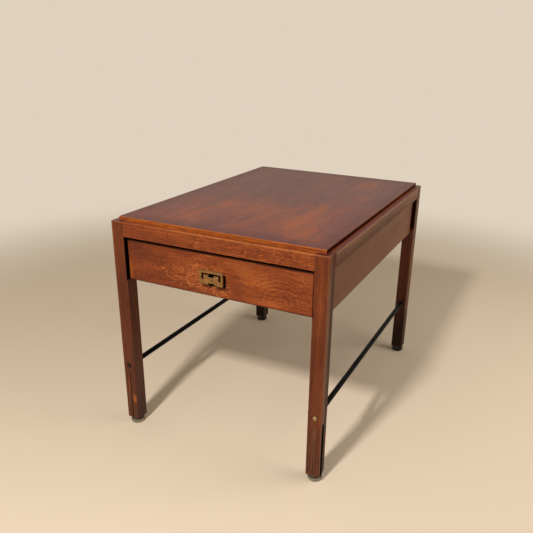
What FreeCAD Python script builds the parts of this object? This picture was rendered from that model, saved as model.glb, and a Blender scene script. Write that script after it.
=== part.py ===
import FreeCAD, Part
import math
import os
import re
import Sketcher
from FreeCAD import Placement, Rotation, Vector

# Frame: X to the right, Y to the back, Z up, millimetres, floor at Z 0.
# Origin: bottom centre of the box around the whole nightstand.

# Driving sizes: name, value in millimetres, meaning
SIZES = [
    ("frame_width", 548, "width over the legs"),
    ("frame_depth", 760, "depth over the legs"),
    ("frame_height", 556, "floor to the top of legs and rails"),
    ("leg_side", 34, "side of the square leg"),
    ("rail_height", 36, "height of the four top rails"),
    ("round_over", 4.5, "radius round the inside of each side frame"),
    ("relief_width", 16, "relieved band beside that radius"),
    ("relief_drop", 1, "fall of the band towards the opening"),
    ("edge_ease", 1.5, "radius on the other exposed edges"),
    ("top_inset", 13, "ledge left between top and frame edge"),
    ("top_proud", 9, "height of the top above the frame"),
    ("top_tongue", 10, "depth of the top's core inside the frame"),
    ("top_gap", 0.5, "room round that core"),
    ("panel_recess", 13, "panels set back from the leg faces"),
    ("panel_thick", 19, "side and back panel thickness"),
    ("panel_height", 107, "panel height below the rails"),
    ("tongue_thick", 8, "tongue round the panels"),
    ("tongue_length", 6, "reach of that tongue"),
    ("tongue_fit", 0.15, "room round that tongue"),
    ("dowel_dia", 8, "dowel diameter"),
    ("dowel_length", 38, "dowel length"),
    ("dowel_depth", 14, "dowel reach into the leg or side rail"),
    ("dowel_inset", 13, "dowel line behind the outer face"),
    ("dowel_low", 10, "lower dowel above the rail's underside"),
    ("dowel_rise", 16, "upper dowel above the lower one"),
    ("dowel_fit", 0.1, "radial room of a dowel"),
    ("block_side", 48, "leg of a corner block's triangle"),
    ("block_height", 24, "corner block height"),
    ("bearer_width", 40, "cross bearer under the top"),
    ("rod_dia", 12.7, "stretcher rod diameter"),
    ("rod_level", 175, "stretcher rod axis above the floor"),
    ("rod_socket", 6, "rod end sunk in the leg"),
    ("rod_fit", 0.15, "radial room of the rod end"),
    ("bolt_dia", 6, "stretcher bolt shank"),
    ("bolt_grip", 14, "bolt reach into the rod"),
    ("bolt_head", 11, "bolt head diameter"),
    ("bolt_seat", 2, "depth of the bolt's counterbore"),
    ("bolt_proud", 1, "bolt head above the leg face"),
    ("bolt_fit", 0.15, "radial room of the bolt shank"),
    ("bolt_gap", 0.8, "radial room of the bolt head"),
    ("check_rise", 138, "length of the drying checks in the front legs"),
    ("check_face", 2.4, "check width on the front face"),
    ("check_depth", 5, "check depth on the front face"),
    ("check_side", 4.4, "check width on the right leg's outer face"),
    ("check_set", 10.8, "that check behind the front face"),
    ("check_sink", 9, "depth of that check"),
    ("glide_height", 18, "floor to the leg's end"),
    ("cap_dia", 35, "glide cap diameter"),
    ("cap_flat", 24, "flat that meets the floor"),
    ("cap_turn", 6, "height where the cap's wall turns upright"),
    ("cap_height", 11, "glide cap height"),
    ("cap_recess", 1, "seat for the cushion in the cap"),
    ("cap_round", 7, "radius where the cap's wall turns under"),
    ("cap_ease", 1.2, "radius on the cap's rim"),
    ("cushion_dia", 28, "rubber cushion diameter"),
    ("cushion_gap", 0.4, "radial room of the cushion in the cap"),
    ("stem_dia", 5, "glide stem diameter"),
    ("stem_length", 28, "glide stem length"),
    ("stem_fit", 0.1, "radial room of the stem"),
    ("drawer_recess", 7.5, "drawer front behind the leg faces"),
    ("drawer_gap", 2.8, "gap at each end of the drawer front"),
    ("drawer_head", 6.5, "gap between drawer front and front rail"),
    ("drawer_room", 30.5, "room between the drawer's sides and the back panel"),
    ("front_height", 100, "drawer front height"),
    ("front_thick", 20, "drawer front thickness"),
    ("front_ease", 2.5, "radius round the drawer front's face"),
    ("side_lap", 10, "drawer side let into the front"),
    ("side_thick", 12, "drawer side and back thickness"),
    ("side_height", 82, "drawer side height"),
    ("side_rise", 5, "drawer side above the front's lower edge"),
    ("joint_fit", 0.1, "room in the drawer's own joints"),
    ("floor_thick", 6, "drawer bottom thickness"),
    ("floor_rise", 8, "drawer bottom above the sides' lower edge"),
    ("floor_groove", 5, "groove depth for the drawer bottom"),
    ("dado_depth", 4, "housing depth for the drawer back"),
    ("back_inset", 12, "drawer back ahead of the sides' ends"),
    ("runner_width", 11, "runner out from the side panel"),
    ("runner_height", 12, "runner height"),
    ("runner_rise", 42, "runner above the drawer side's lower edge"),
    ("runner_gap", 0.8, "room between runner and groove bottom"),
    ("runner_play", 0.6, "room under the runner in the groove"),
    ("drawer_travel", 400, "drawer movement from shut to the stop"),
    ("stop_gap", 1, "room left at the stop"),
    ("stop_width", 50, "drawer stop width"),
    ("stop_thick", 11, "drawer stop thickness"),
    ("stop_height", 64, "drawer stop height"),
    ("stop_catch", 10, "overlap of stop and bearer"),
    ("stop_drop", 14, "stop's screws below the top of the drawer back"),
    ("buffer_width", 14, "shut-stop block width"),
    ("buffer_height", 40, "shut-stop block height"),
    ("buffer_gap", 0.5, "room between block and drawer side"),
    ("pull_width", 60, "pull plate width"),
    ("pull_height", 33, "pull plate height"),
    ("pull_plate", 4, "pull plate thickness"),
    ("pull_ease", 0.9, "radius round the pull plate's face"),
    ("pull_post", 11, "pull plate off the drawer front"),
    ("post_dia", 9, "pull post diameter"),
    ("post_spread", 32, "distance between the posts"),
    ("fret_margin", 5, "frame left at the plate's ends"),
    ("fret_head", 7, "frame left at the plate's top"),
    ("fret_slot", 2.5, "width of the fret's slot"),
    ("fret_foot", 10.5, "height left below the slot's ends"),
    ("notch_width", 12.8, "width of the two notches"),
    ("notch_drop", 4.4, "upper notch below the slot"),
    ("notch_foot", 4, "height of the notch in the lower edge"),
    ("screw_dia", 4, "wood screw shank"),
    ("screw_head", 8, "wood screw head diameter"),
    ("head_depth", 2.4, "countersunk head depth"),
    ("screw_fit", 0.1, "radial room of screws and pins"),
    ("top_screw", 36, "screw length, blocks and bearer to top"),
    ("runner_screw", 22, "screw length, runner to panel"),
    ("stop_screw", 19, "screw length, stop to drawer back"),
    ("pull_screw", 28, "screw length, drawer front to pull"),
    ("pin_dia", 2, "drawer bottom pin diameter"),
    ("pin_length", 16, "drawer bottom pin length"),
]
NAMES = {name for name, value, note in SIZES}
SIDES = ("left", "right")
ENDS = ("front", "rear")
OUT = {"left": "-x", "right": "+x", "front": "-y", "rear": "+y"}
IN = {"left": "+x", "right": "-x", "front": "+y", "rear": "-y"}
TURN = {
    "+x": Rotation(Vector(0, 1, 0), 90),
    "-x": Rotation(Vector(0, 1, 0), -90),
    "+y": Rotation(Vector(1, 0, 0), -90),
    "-y": Rotation(Vector(1, 0, 0), 90),
    "+z": Rotation(),
}

# Levels and planes that several pieces share
FRONT = "((pull_post + pull_plate - drawer_recess - frame_depth - bolt_proud) / 2)"
RAIL = "(frame_height - rail_height)"
BAY = "(frame_width - 2 * leg_side)"
REACH = "(frame_depth - 2 * leg_side)"
PANEL_FACE = "(panel_recess + panel_thick)"
TONGUE_SET = "(panel_recess + (panel_thick - tongue_thick) / 2)"
FACE_LOW = f"({RAIL} - drawer_head - front_height)"
FACE_WIDTH = f"({BAY} - 2 * drawer_gap)"
SIDE_LOW = f"({FACE_LOW} + side_rise)"
SIDE_TOP = f"({SIDE_LOW} + side_height)"
SIDE_IN = "(leg_side + drawer_gap)"
FLOOR_LOW = f"({SIDE_LOW} + floor_rise)"
FACE_BACK = "(drawer_recess + front_thick)"
DRAWER_END = f"(frame_depth - {PANEL_FACE} - drawer_room)"
BACK_FACE = f"({DRAWER_END} - back_inset)"
RUNNER_LOW = f"({SIDE_LOW} + runner_rise)"
BEARER_NEAR = f"({BACK_FACE} - drawer_travel - stop_gap - bearer_width)"
PULL_LOW = f"({FACE_LOW} + (front_height - pull_height) / 2)"
PULL_BACK = "(drawer_recess - pull_post)"

doc = FreeCAD.newDocument("Nightstand")
sheet = doc.addObject("Spreadsheet::Sheet", "Size")
for row, (name, value, note) in enumerate(SIZES, 1):
    sheet.set(f"A{row}", name)
    sheet.set(f"B{row}", str(value))
    sheet.set(f"C{row}", note)
    sheet.setAlias(f"B{row}", name)
doc.recompute()
nodes = []


def ex(text):
    """Put the sheet's name before every driving size in an expression."""
    return re.sub(r"[a-z_]+", lambda m: "Size." + m[0] if m[0] in NAMES else m[0], text)


def across(side, near, width="0"):
    """X of the low edge of a span that starts this far inside a side's outer face."""
    if side == "left":
        return f"(-frame_width / 2 + ({near}))"
    return f"(frame_width / 2 - ({near}) - ({width}))"


def along(end, near, depth="0"):
    """Y of the low edge of a span that starts this far inside an end's outer face."""
    if end == "front":
        return f"({FRONT} + ({near}))"
    return f"({FRONT} + frame_depth - ({near}) - ({depth}))"


def bind(obj, **sizes):
    """Tie properties to the sheet."""
    for prop, text in sizes.items():
        obj.setExpression(prop, ex(text))
    return obj


def put(obj, x, y, z, turn=Rotation()):
    """Turn an object and tie its place to the sheet."""
    obj.Placement = Placement(Vector(), turn)
    for axis, text in zip("xyz", (x, y, z)):
        obj.setExpression(f"Placement.Base.{axis}", ex(text))
    return obj


def node(obj, label):
    """Name an object as one piece of the nightstand."""
    obj.Label = label
    nodes.append(obj)
    return obj


def block(length, width, height, x, y, z):
    """Square-edged stock or waste, from its low corner."""
    box = doc.addObject("Part::Box", "Block")
    return put(bind(box, Length=length, Width=width, Height=height), x, y, z)


def bar(way, dia, length, x, y, z):
    """Round stock or a bore, from one end along a direction."""
    rod = doc.addObject("Part::Cylinder", "Bar")
    return put(bind(rod, Radius=f"({dia}) / 2", Height=length), x, y, z, TURN[way])


def join(items):
    """One shape from several."""
    if len(items) == 1:
        return items[0]
    whole = doc.addObject("Part::MultiFuse", "Join")
    whole.Shapes = items
    return whole


def pare(base, tools):
    """A shape with others taken out of it."""
    piece = doc.addObject("Part::Cut", "Pare")
    piece.Base = base
    piece.Tool = join(tools)
    return piece


def gather(items):
    """Separate solids kept together as one piece."""
    whole = doc.addObject("Part::Compound", "Gather")
    whole.Links = items
    return whole


def profile(body, role, points, lift="0"):
    """Closed outline on one of the body's own planes, every corner tied to the sheet."""
    sketch = body.newObject("Sketcher::SketchObject", "Outline")
    plane = next(part for part in body.Origin.OriginFeatures if part.Role == role)
    sketch.AttachmentSupport = [(plane, "")]
    sketch.MapMode = "FlatFace"
    sketch.setExpression("AttachmentOffset.Base.z", ex(lift))
    count = len(points)
    turns = [2 * math.pi * i / count - 2.4 for i in range(count)]
    spots = [Vector(60 + 50 * math.cos(a), 60 + 50 * math.sin(a), 0) for a in turns]
    for i in range(count):
        sketch.addGeometry(Part.LineSegment(spots[i], spots[(i + 1) % count]))
    for i in range(count):
        sketch.addConstraint(Sketcher.Constraint("Coincident", i, 2, (i + 1) % count, 1))
    for i, corner in enumerate(points):
        for kind, axis, text, spot in zip(("DistanceX", "DistanceY"), (-2, -1), corner, spots[i]):
            if text == "0":
                sketch.addConstraint(Sketcher.Constraint("PointOnObject", i, 1, axis))
                continue
            index = sketch.addConstraint(Sketcher.Constraint(kind, -1, 1, i, 1, spot))
            sketch.renameConstraint(index, f"{kind}{i}")
            sketch.setExpression(f"Constraints.{kind}{i}", ex(text))
    return sketch


def pad(body, sketch, length):
    """Raise an outline into stock."""
    feature = body.newObject("PartDesign::Pad", "Pad")
    feature.Profile = sketch
    return bind(feature, Length=length)


def soften(body, feature, radius, chosen):
    """Round the edges that a test picks out."""
    doc.recompute()
    edges = [f"Edge{i}" for i, edge in enumerate(feature.Shape.Edges, 1) if chosen(edge)]
    ease = body.newObject("PartDesign::Fillet", "Ease")
    ease.Base = (feature, edges)
    return bind(ease, Radius=radius)


def on_sides(feature, picks):
    """Test for edges on two sides of a box, such as "x- z+"."""
    doc.recompute()
    box = feature.Shape.BoundBox
    limits = {"x-": box.XMin, "x+": box.XMax, "y-": box.YMin,
              "y+": box.YMax, "z-": box.ZMin, "z+": box.ZMax}

    def chosen(edge):
        middle = edge.CenterOfMass
        return any(all(abs(getattr(middle, side[0]) - limits[side]) < 1e-3 for side in pick.split())
                   for pick in picks)
    return chosen


def board(length, width, height, x, y, z, picks=(), radius="edge_ease"):
    """Sawn stock from its low corner, with the named edges eased."""
    body = doc.addObject("PartDesign::Body", "Board")
    corners = [("0", "0"), (length, "0"), (length, width), ("0", width)]
    stock = pad(body, profile(body, "XY_Plane", corners), height)
    if picks:
        soften(body, stock, radius, on_sides(stock, picks))
    return put(body, x, y, z)


def turned(points, x, y, z, way="+z", eases=()):
    """A piece turned about its axis from radius and height pairs; eases are corners and their rounding."""
    body = doc.addObject("PartDesign::Body", "Turned")
    outline = profile(body, "XZ_Plane", points)
    spin = body.newObject("PartDesign::Revolution", "Spin")
    spin.Profile = outline
    spin.ReferenceAxis = (outline, ["V_Axis"])
    spin.Angle = 360
    feature = spin
    for reach, height, radius in eases:
        feature = soften(body, feature, radius, lambda edge: isinstance(edge.Curve, Part.Circle)
                         and abs(edge.Curve.Radius - reach) < 1e-3
                         and abs(edge.Curve.Center.z - height) < 1e-3)
    return put(body, x, y, z, TURN[way])


def screw(way, length, x, y, z, fit="0"):
    """Countersunk screw, or with a fit the hole that takes it."""
    head = doc.addObject("Part::Cone", "Head")
    bind(head, Radius1=f"screw_head / 2 + {fit}", Radius2=f"screw_dia / 2 + {fit}", Height="head_depth")
    put(head, x, y, z, TURN[way])
    return join([head, bar(way, f"screw_dia + 2 * {fit}", f"{length} + {fit}", x, y, z)])


def dowel_hole(way, depth, x, y, z):
    """Bore for a dowel, a little longer than its share."""
    return bar(way, "dowel_dia + 2 * dowel_fit", f"{depth} + 0.5", x, y, z)


def check(width, depth, x, y, turn):
    """Tapering split that opens towards the foot of a leg."""
    wedge = doc.addObject("Part::Wedge", "Check")
    bind(wedge, Xmin=f"-{width} / 2", Xmax=f"{width} / 2", X2min=f"-{width} / 4", X2max=f"{width} / 4",
         Ymin="0", Ymax="check_rise + 1", Zmin=f"-{depth}", Zmax="1", Z2min=f"-{depth} / 3", Z2max="1")
    return put(wedge, x, y, "glide_height - 1", turn)


def relief(side, away, run, y, z):
    """Waste over the relieved band of a side frame, from the low end of its run."""
    inward = TURN[IN[side]].multVec(Vector(0, 0, 1))
    outward = TURN[away].multVec(Vector(0, 0, 1))
    course = inward.cross(outward)
    low, high = ("0", run) if course.y + course.z > 0 else (f"-({run})", "0")
    wedge = doc.addObject("Part::Wedge", "Relief")
    bind(wedge, Xmin="-1", Xmax="relief_drop * (1 + 1 / relief_width)", X2min="-1", X2max="0",
         Ymin="-1", Ymax="relief_width", Zmin=low, Zmax=high, Z2min=low, Z2max=high)
    return put(wedge, across(side, "0"), y, z, Rotation(inward, outward, course, "XYZ"))


def arris_down(side, end, top):
    """Waste outside a leg's rounded arris and its relieved band, up to a level."""
    run = f"({top} - glide_height + 1)"
    waste = block("round_over + 1", "round_over + 1", run, across(side, "-1", "round_over + 1"),
                  along(end, "leg_side - round_over", "round_over + 1"), "glide_height - 1")
    core = bar("+z", "2 * round_over", f"{run} + 2", across(side, "round_over"),
               along(end, "leg_side - round_over"), "glide_height - 2")
    band = relief(side, OUT[end], run, along(end, "leg_side"), "glide_height - 1")
    return join([pare(waste, [core]), band])


def arris_along(side):
    """Waste outside a side rail's rounded lower edge and relieved band, run on into both legs."""
    start = along("front", "leg_side - relief_width - 1")
    run = f"({REACH} + 2 * relief_width + 2)"
    waste = block("round_over + 1", run, "round_over + 1", across(side, "-1", "round_over + 1"),
                  start, f"{RAIL} - 1")
    core = bar("+y", "2 * round_over", "frame_depth", across(side, "round_over"),
               FRONT, f"{RAIL} + round_over")
    return join([pare(waste, [core]), relief(side, "+z", run, start, RAIL)])


def dowel_levels():
    """Heights of the two dowels in a rail joint."""
    return f"{RAIL} + dowel_low", f"{RAIL} + dowel_low + dowel_rise"


# Legs: rounded and relieved arris with its mitre, then bores and grooves for what joins them
for side in SIDES:
    for end in ENDS:
        face = {"left": "x-", "right": "x+"}[side]
        nose = {"front": "y-", "rear": "y+"}[end]
        stock = board("leg_side", "leg_side", "frame_height - glide_height",
                      across(side, "0", "leg_side"), along(end, "0", "leg_side"), "glide_height",
                      (f"{face} {nose}", f"{face} z+", f"{nose} z+"))
        mitre = doc.addObject("Part::MultiCommon", "Mitre")
        mitre.Shapes = [arris_down(side, end, f"{RAIL} + relief_width"), arris_along(side)]
        middle = across(side, "leg_side / 2")
        tools = [arris_down(side, end, RAIL), mitre]
        for level in dowel_levels():
            tools.append(dowel_hole(OUT[side], "dowel_depth", across(side, "leg_side"),
                                    along(end, "dowel_inset"), level))
            tools.append(dowel_hole(OUT[end], "dowel_depth", across(side, "dowel_inset"),
                                    along(end, "leg_side"), level))
        tools.append(block("tongue_thick + 2 * tongue_fit", "tongue_length + tongue_fit",
                           "panel_height + tongue_fit",
                           across(side, f"{TONGUE_SET} - tongue_fit", "tongue_thick + 2 * tongue_fit"),
                           along(end, "leg_side - tongue_length - tongue_fit", "tongue_length + tongue_fit"),
                           f"{RAIL} - panel_height - tongue_fit"))
        if end == "rear":
            tools.append(block("tongue_length + tongue_fit", "tongue_thick + 2 * tongue_fit",
                               "panel_height + tongue_fit",
                               across(side, "leg_side - tongue_length - tongue_fit",
                                      "tongue_length + tongue_fit"),
                               along(end, f"{TONGUE_SET} - tongue_fit", "tongue_thick + 2 * tongue_fit"),
                               f"{RAIL} - panel_height - tongue_fit"))
        tools.append(bar(IN[end], "bolt_dia + 2 * bolt_fit", "leg_side", middle,
                         along(end, "0"), "rod_level"))
        tools.append(bar(IN[end], "bolt_head + 2 * bolt_gap", "bolt_seat", middle,
                         along(end, "0"), "rod_level"))
        tools.append(bar(OUT[end], "rod_dia + 2 * rod_fit", "rod_socket", middle,
                         along(end, "leg_side"), "rod_level"))
        tools.append(bar("+z", "stem_dia + 2 * stem_fit",
                         "stem_length - (glide_height - cap_height + cap_recess) + 0.5",
                         middle, along(end, "leg_side / 2"), "glide_height"))
        if end == "front":
            tools.append(check("check_face", "check_depth", middle, along("front", "0"),
                               Rotation(Vector(1, 0, 0), 90)))
        if (side, end) == ("right", "front"):
            tools.append(check("check_side", "check_sink", across(side, "0"), along("front", "check_set"),
                               Rotation(Vector(0, 0, 1), 90) * Rotation(Vector(1, 0, 0), 90)))
        node(pare(stock, tools), f"leg_{end}_{side}")

# Front and rear rails, dowelled between the legs
for end in ENDS:
    nose = {"front": "y-", "rear": "y+"}[end]
    stock = board(BAY, "leg_side", "rail_height", across("left", "leg_side"), along(end, "0", "leg_side"),
                  RAIL, (f"{nose} z+", f"{nose} z-"))
    tools = [dowel_hole(IN[side], "dowel_length - dowel_depth", across(side, "leg_side"),
                        along(end, "dowel_inset"), level)
             for side in SIDES for level in dowel_levels()]
    if end == "rear":
        tools.append(block(BAY, "tongue_thick + 2 * tongue_fit", "tongue_length + tongue_fit",
                           across("left", "leg_side"),
                           along(end, f"{TONGUE_SET} - tongue_fit", "tongue_thick + 2 * tongue_fit"), RAIL))
    node(pare(stock, tools), f"{end}_rail")

# Side rails, with a rounded lower edge, a groove for the panel and bores for the bearer's dowels
BEARER_SPOTS = [f"({BEARER_NEAR} + bearer_width * {share})" for share in ("0.25", "0.75")]
BEARER_DOWEL = f"({RAIL} + (rail_height - top_tongue) / 2)"
for side in SIDES:
    face = {"left": "x-", "right": "x+"}[side]
    stock = board("leg_side", REACH, "rail_height", across(side, "0", "leg_side"),
                  along("front", "leg_side"), RAIL, (f"{face} z+",))
    tools = [arris_along(side)]
    tools += [dowel_hole(IN[end], "dowel_length - dowel_depth", across(side, "dowel_inset"),
                         along(end, "leg_side"), level)
              for end in ENDS for level in dowel_levels()]
    tools += [dowel_hole(OUT[side], "dowel_depth", across(side, "leg_side"),
                         along("front", spot), BEARER_DOWEL) for spot in BEARER_SPOTS]
    tools.append(block("tongue_thick + 2 * tongue_fit", REACH, "tongue_length + tongue_fit",
                       across(side, f"{TONGUE_SET} - tongue_fit", "tongue_thick + 2 * tongue_fit"),
                       along("front", "leg_side"), RAIL))
    node(pare(stock, tools), f"side_rail_{side}")

# Where each drawer runner is screwed to its panel
RUNNER_SPOTS = [f"(leg_side + {REACH} * {share})" for share in ("0.1", "0.5", "0.9")]
RUNNER_AXIS = f"({RUNNER_LOW} + runner_height / 2)"


def runner_screw(side, spot, fit="0"):
    """Screw through a runner into its panel."""
    return screw(OUT[side], "runner_screw", across(side, f"{PANEL_FACE} + runner_width"),
                 along("front", spot), RUNNER_AXIS, fit)


# Side and back panels: tongues on both ends and along the top
for side in SIDES:
    low = f"{RAIL} - panel_height"
    main = block("panel_thick", REACH, "panel_height", across(side, "panel_recess", "panel_thick"),
                 along("front", "leg_side"), low)
    ends = block("tongue_thick", f"{REACH} + 2 * tongue_length", "panel_height",
                 across(side, TONGUE_SET, "tongue_thick"), along("front", "leg_side - tongue_length"), low)
    head = block("tongue_thick", REACH, "panel_height + tongue_length",
                 across(side, TONGUE_SET, "tongue_thick"), along("front", "leg_side"), low)
    holes = [runner_screw(side, spot, "screw_fit") for spot in RUNNER_SPOTS]
    node(pare(join([main, ends, head]), holes), f"side_panel_{side}")
low = f"{RAIL} - panel_height"
main = block(BAY, "panel_thick", "panel_height", across("left", "leg_side"),
             along("rear", "panel_recess", "panel_thick"), low)
ends = block(f"{BAY} + 2 * tongue_length", "tongue_thick", "panel_height",
             across("left", "leg_side - tongue_length"), along("rear", TONGUE_SET, "tongue_thick"), low)
head = block(BAY, "tongue_thick", "panel_height + tongue_length", across("left", "leg_side"),
             along("rear", TONGUE_SET, "tongue_thick"), low)
node(join([main, ends, head]), "back_panel")

# Dowels of the rails and the bearer
dowels = []
for side in SIDES:
    for end in ENDS:
        for level in dowel_levels():
            dowels.append(bar(IN[side], "dowel_dia", "dowel_length", across(side, "leg_side - dowel_depth"),
                              along(end, "dowel_inset"), level))
            dowels.append(bar(IN[end], "dowel_dia", "dowel_length", across(side, "dowel_inset"),
                              along(end, "leg_side - dowel_depth"), level))
    for spot in BEARER_SPOTS:
        dowels.append(bar(IN[side], "dowel_dia", "dowel_length", across(side, "leg_side - dowel_depth"),
                          along("front", spot), BEARER_DOWEL))
node(gather(dowels), "rail_dowels")

# Screws that hold the top: one through each corner block and two through the bearer
TOP_UNDER = "(frame_height - top_tongue)"
BLOCK_SCREW = "(leg_side + block_side * 0.32)"
top_spots = [(across(side, BLOCK_SCREW), along(end, BLOCK_SCREW), f"({TOP_UNDER} - block_height)")
             for side in SIDES for end in ENDS]
top_spots += [(across(side, "frame_width / 4"), along("front", f"({BEARER_NEAR} + bearer_width / 2)"), RAIL)
              for side in SIDES]
top_holes = [screw("+z", "top_screw", *spot, fit="screw_fit") for spot in top_spots]
node(gather([screw("+z", "top_screw", *spot) for spot in top_spots]), "top_screws")

# Corner blocks, glued into the angles of the rails
QUARTER = {("left", "front"): 0, ("right", "front"): 90, ("right", "rear"): 180, ("left", "rear"): 270}
for index, (side, end) in enumerate((side, end) for side in SIDES for end in ENDS):
    wedge = doc.addObject("Part::Wedge", "Corner")
    bind(wedge, Xmin="0", Xmax="block_side", X2min="0", X2max="0", Ymin="0", Ymax="block_side",
         Zmin="0", Zmax="block_height", Z2min="0", Z2max="block_height")
    put(wedge, across(side, "leg_side"), along(end, "leg_side"), f"{TOP_UNDER} - block_height",
        Rotation(Vector(0, 0, 1), QUARTER[side, end]))
    node(pare(wedge, [top_holes[index]]), f"corner_block_{end}_{side}")

# Bearer under the middle of the top, which also stops the drawer
stock = board(BAY, "bearer_width", "rail_height - top_tongue", across("left", "leg_side"),
              along("front", BEARER_NEAR), RAIL)
tools = [dowel_hole(IN[side], "dowel_length - dowel_depth", across(side, "leg_side"),
                    along("front", spot), BEARER_DOWEL) for side in SIDES for spot in BEARER_SPOTS]
node(pare(stock, tools + top_holes[4:]), "top_bearer")

# Top: a slab that stands on the rails with a core let down between them
slab_width = "(frame_width - 2 * top_inset)"
slab_depth = "(frame_depth - 2 * top_inset)"
step = "(leg_side - top_inset + top_gap)"
body = doc.addObject("PartDesign::Body", "Slab")
outline = [("0", "0"), (slab_width, "0"), (slab_width, slab_depth), ("0", slab_depth)]
slab = pad(body, profile(body, "XY_Plane", outline, "top_tongue"), "top_proud")
inner = [(step, step), (f"{slab_width} - {step}", step),
         (f"{slab_width} - {step}", f"{slab_depth} - {step}"), (step, f"{slab_depth} - {step}")]
core = pad(body, profile(body, "XY_Plane", inner), "top_tongue")
soften(body, core, "edge_ease", on_sides(core, (
    "x- z+", "x+ z+", "y- z+", "y+ z+", "x- y-", "x+ y-", "x+ y+", "x- y+")))
put(body, across("left", "top_inset"), along("front", "top_inset"), TOP_UNDER)
node(pare(body, top_holes), "top_panel")

# Stretcher rods and the bolts that draw them to the legs
bolts = []
for side in SIDES:
    middle = across(side, "leg_side / 2")
    rod = bar("+y", "rod_dia", f"{REACH} + 2 * rod_socket", middle,
              along("front", "leg_side - rod_socket"), "rod_level")
    taps = [bar(IN[end], "bolt_dia + 2 * bolt_fit", "bolt_grip + 1", middle,
                along(end, "leg_side - rod_socket"), "rod_level") for end in ENDS]
    node(pare(rod, taps), f"stretcher_{side}")
    for end in ENDS:
        reach = "(bolt_proud + leg_side - rod_socket + bolt_grip)"
        seat = "(bolt_proud + bolt_seat)"
        outline = [("0", "0"), ("bolt_head / 2 - bolt_proud", "0"), ("bolt_head / 2", "bolt_proud"),
                   ("bolt_head / 2", seat), ("bolt_dia / 2", seat), ("bolt_dia / 2", reach), ("0", reach)]
        bolts.append(turned(outline, middle, along(end, "-bolt_proud"), "rod_level", IN[end]))
node(gather(bolts), "stretcher_bolts")

# Glides: steel cap, rubber cushion and a stem driven into the leg
stems = []
for side in SIDES:
    for end in ENDS:
        spot = (across(side, "leg_side / 2"), along(end, "leg_side / 2"))
        seat = "(cap_height - cap_recess)"
        cup = "(cushion_dia / 2 + cushion_gap)"
        outline = [("0", "0"), ("cap_flat / 2", "0"), ("cap_dia / 2", "cap_turn"),
                   ("cap_dia / 2", "cap_height"), (cup, "cap_height"), (cup, seat), ("0", seat)]
        eases = [(sheet.cap_dia / 2, sheet.cap_turn, "cap_round"),
                 (sheet.cap_dia / 2, sheet.cap_height, "cap_ease")]
        node(turned(outline, *spot, "0", eases=eases), f"glide_cap_{end}_{side}")
        cushion = bar("+z", "cushion_dia", f"glide_height - {seat}", *spot, seat)
        hole = bar("+z", "stem_dia + 2 * stem_fit", "glide_height", *spot, seat)
        node(pare(cushion, [hole]), f"glide_cushion_{end}_{side}")
        stems.append(bar("+z", "stem_dia", "stem_length", *spot, seat))
node(gather(stems), "glide_stems")

# Runners on the side panels
for side in SIDES:
    stock = block("runner_width", REACH, "runner_height", across(side, PANEL_FACE, "runner_width"),
                  along("front", "leg_side"), RUNNER_LOW)
    holes = [runner_screw(side, spot, "screw_fit") for spot in RUNNER_SPOTS]
    node(pare(stock, holes), f"runner_{side}")
node(gather([runner_screw(side, spot) for side in SIDES for spot in RUNNER_SPOTS]), "runner_screws")

# Blocks on the back panel that the shut drawer comes up to
for side in SIDES:
    node(block("buffer_width", f"frame_depth - {PANEL_FACE} - {DRAWER_END} - buffer_gap", "buffer_height",
               across(side, f"{SIDE_IN}", "buffer_width"), along("front", f"{DRAWER_END} + buffer_gap"),
               SIDE_LOW), f"shut_stop_{side}")

# Drawer front: laps for the sides, groove for the bottom, bores for the pull's screws
POST_SPOTS = [f"(post_spread / 2 * {sign})" for sign in ("-1", "1")]
PULL_AXIS = f"({PULL_LOW} + pull_height / 2)"
pull_holes = [screw("-y", "pull_screw", spot, along("front", FACE_BACK), PULL_AXIS, "screw_fit")
              for spot in POST_SPOTS]
stock = board(FACE_WIDTH, "front_thick", "front_height", across("left", SIDE_IN),
              along("front", "drawer_recess"), FACE_LOW,
              ("x- y-", "x+ y-", "y- z-", "y- z+"), "front_ease")
laps = [block("side_thick + joint_fit", "side_lap", "side_height + 2 * joint_fit",
              across(side, SIDE_IN, "side_thick + joint_fit"),
              along("front", f"{FACE_BACK} - side_lap"), f"{SIDE_LOW} - joint_fit") for side in SIDES]
groove = block(f"{FACE_WIDTH} - 2 * side_thick", "floor_groove + joint_fit", "floor_thick + 2 * joint_fit",
               across("left", f"{SIDE_IN} + side_thick"),
               along("front", f"{FACE_BACK} - floor_groove - joint_fit"), f"{FLOOR_LOW} - joint_fit")
node(pare(stock, laps + [groove] + pull_holes), "drawer_front")
node(gather([screw("-y", "pull_screw", spot, along("front", FACE_BACK), PULL_AXIS)
             for spot in POST_SPOTS]), "pull_screws")

# Drawer sides: runner groove outside, groove for the bottom and housing for the back inside
for side in SIDES:
    near = f"{FACE_BACK} - side_lap"
    stock = board("side_thick", f"{DRAWER_END} - ({near})", "side_height",
                  across(side, SIDE_IN, "side_thick"), along("front", near), SIDE_LOW)
    sunk = f"({PANEL_FACE} + runner_width + runner_gap - {SIDE_IN})"
    track = block(sunk, f"{DRAWER_END} - leg_side + 2", "runner_height + runner_play",
                  across(side, SIDE_IN, sunk), along("front", "leg_side - 2"),
                  f"{RUNNER_LOW} - runner_play")
    groove = block("floor_groove + joint_fit", DRAWER_END, "floor_thick + 2 * joint_fit",
                   across(side, f"{SIDE_IN} + side_thick - floor_groove - joint_fit",
                          "floor_groove + joint_fit"),
                   along("front", near), f"{FLOOR_LOW} - joint_fit")
    dado = block("dado_depth + joint_fit", "side_thick + 2 * joint_fit", "side_height",
                 across(side, f"{SIDE_IN} + side_thick - dado_depth - joint_fit", "dado_depth + joint_fit"),
                 along("front", f"{BACK_FACE} - side_thick - joint_fit"), f"{FLOOR_LOW} + floor_thick")
    node(pare(stock, [track, groove, dado]), f"drawer_side_{side}")

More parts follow.
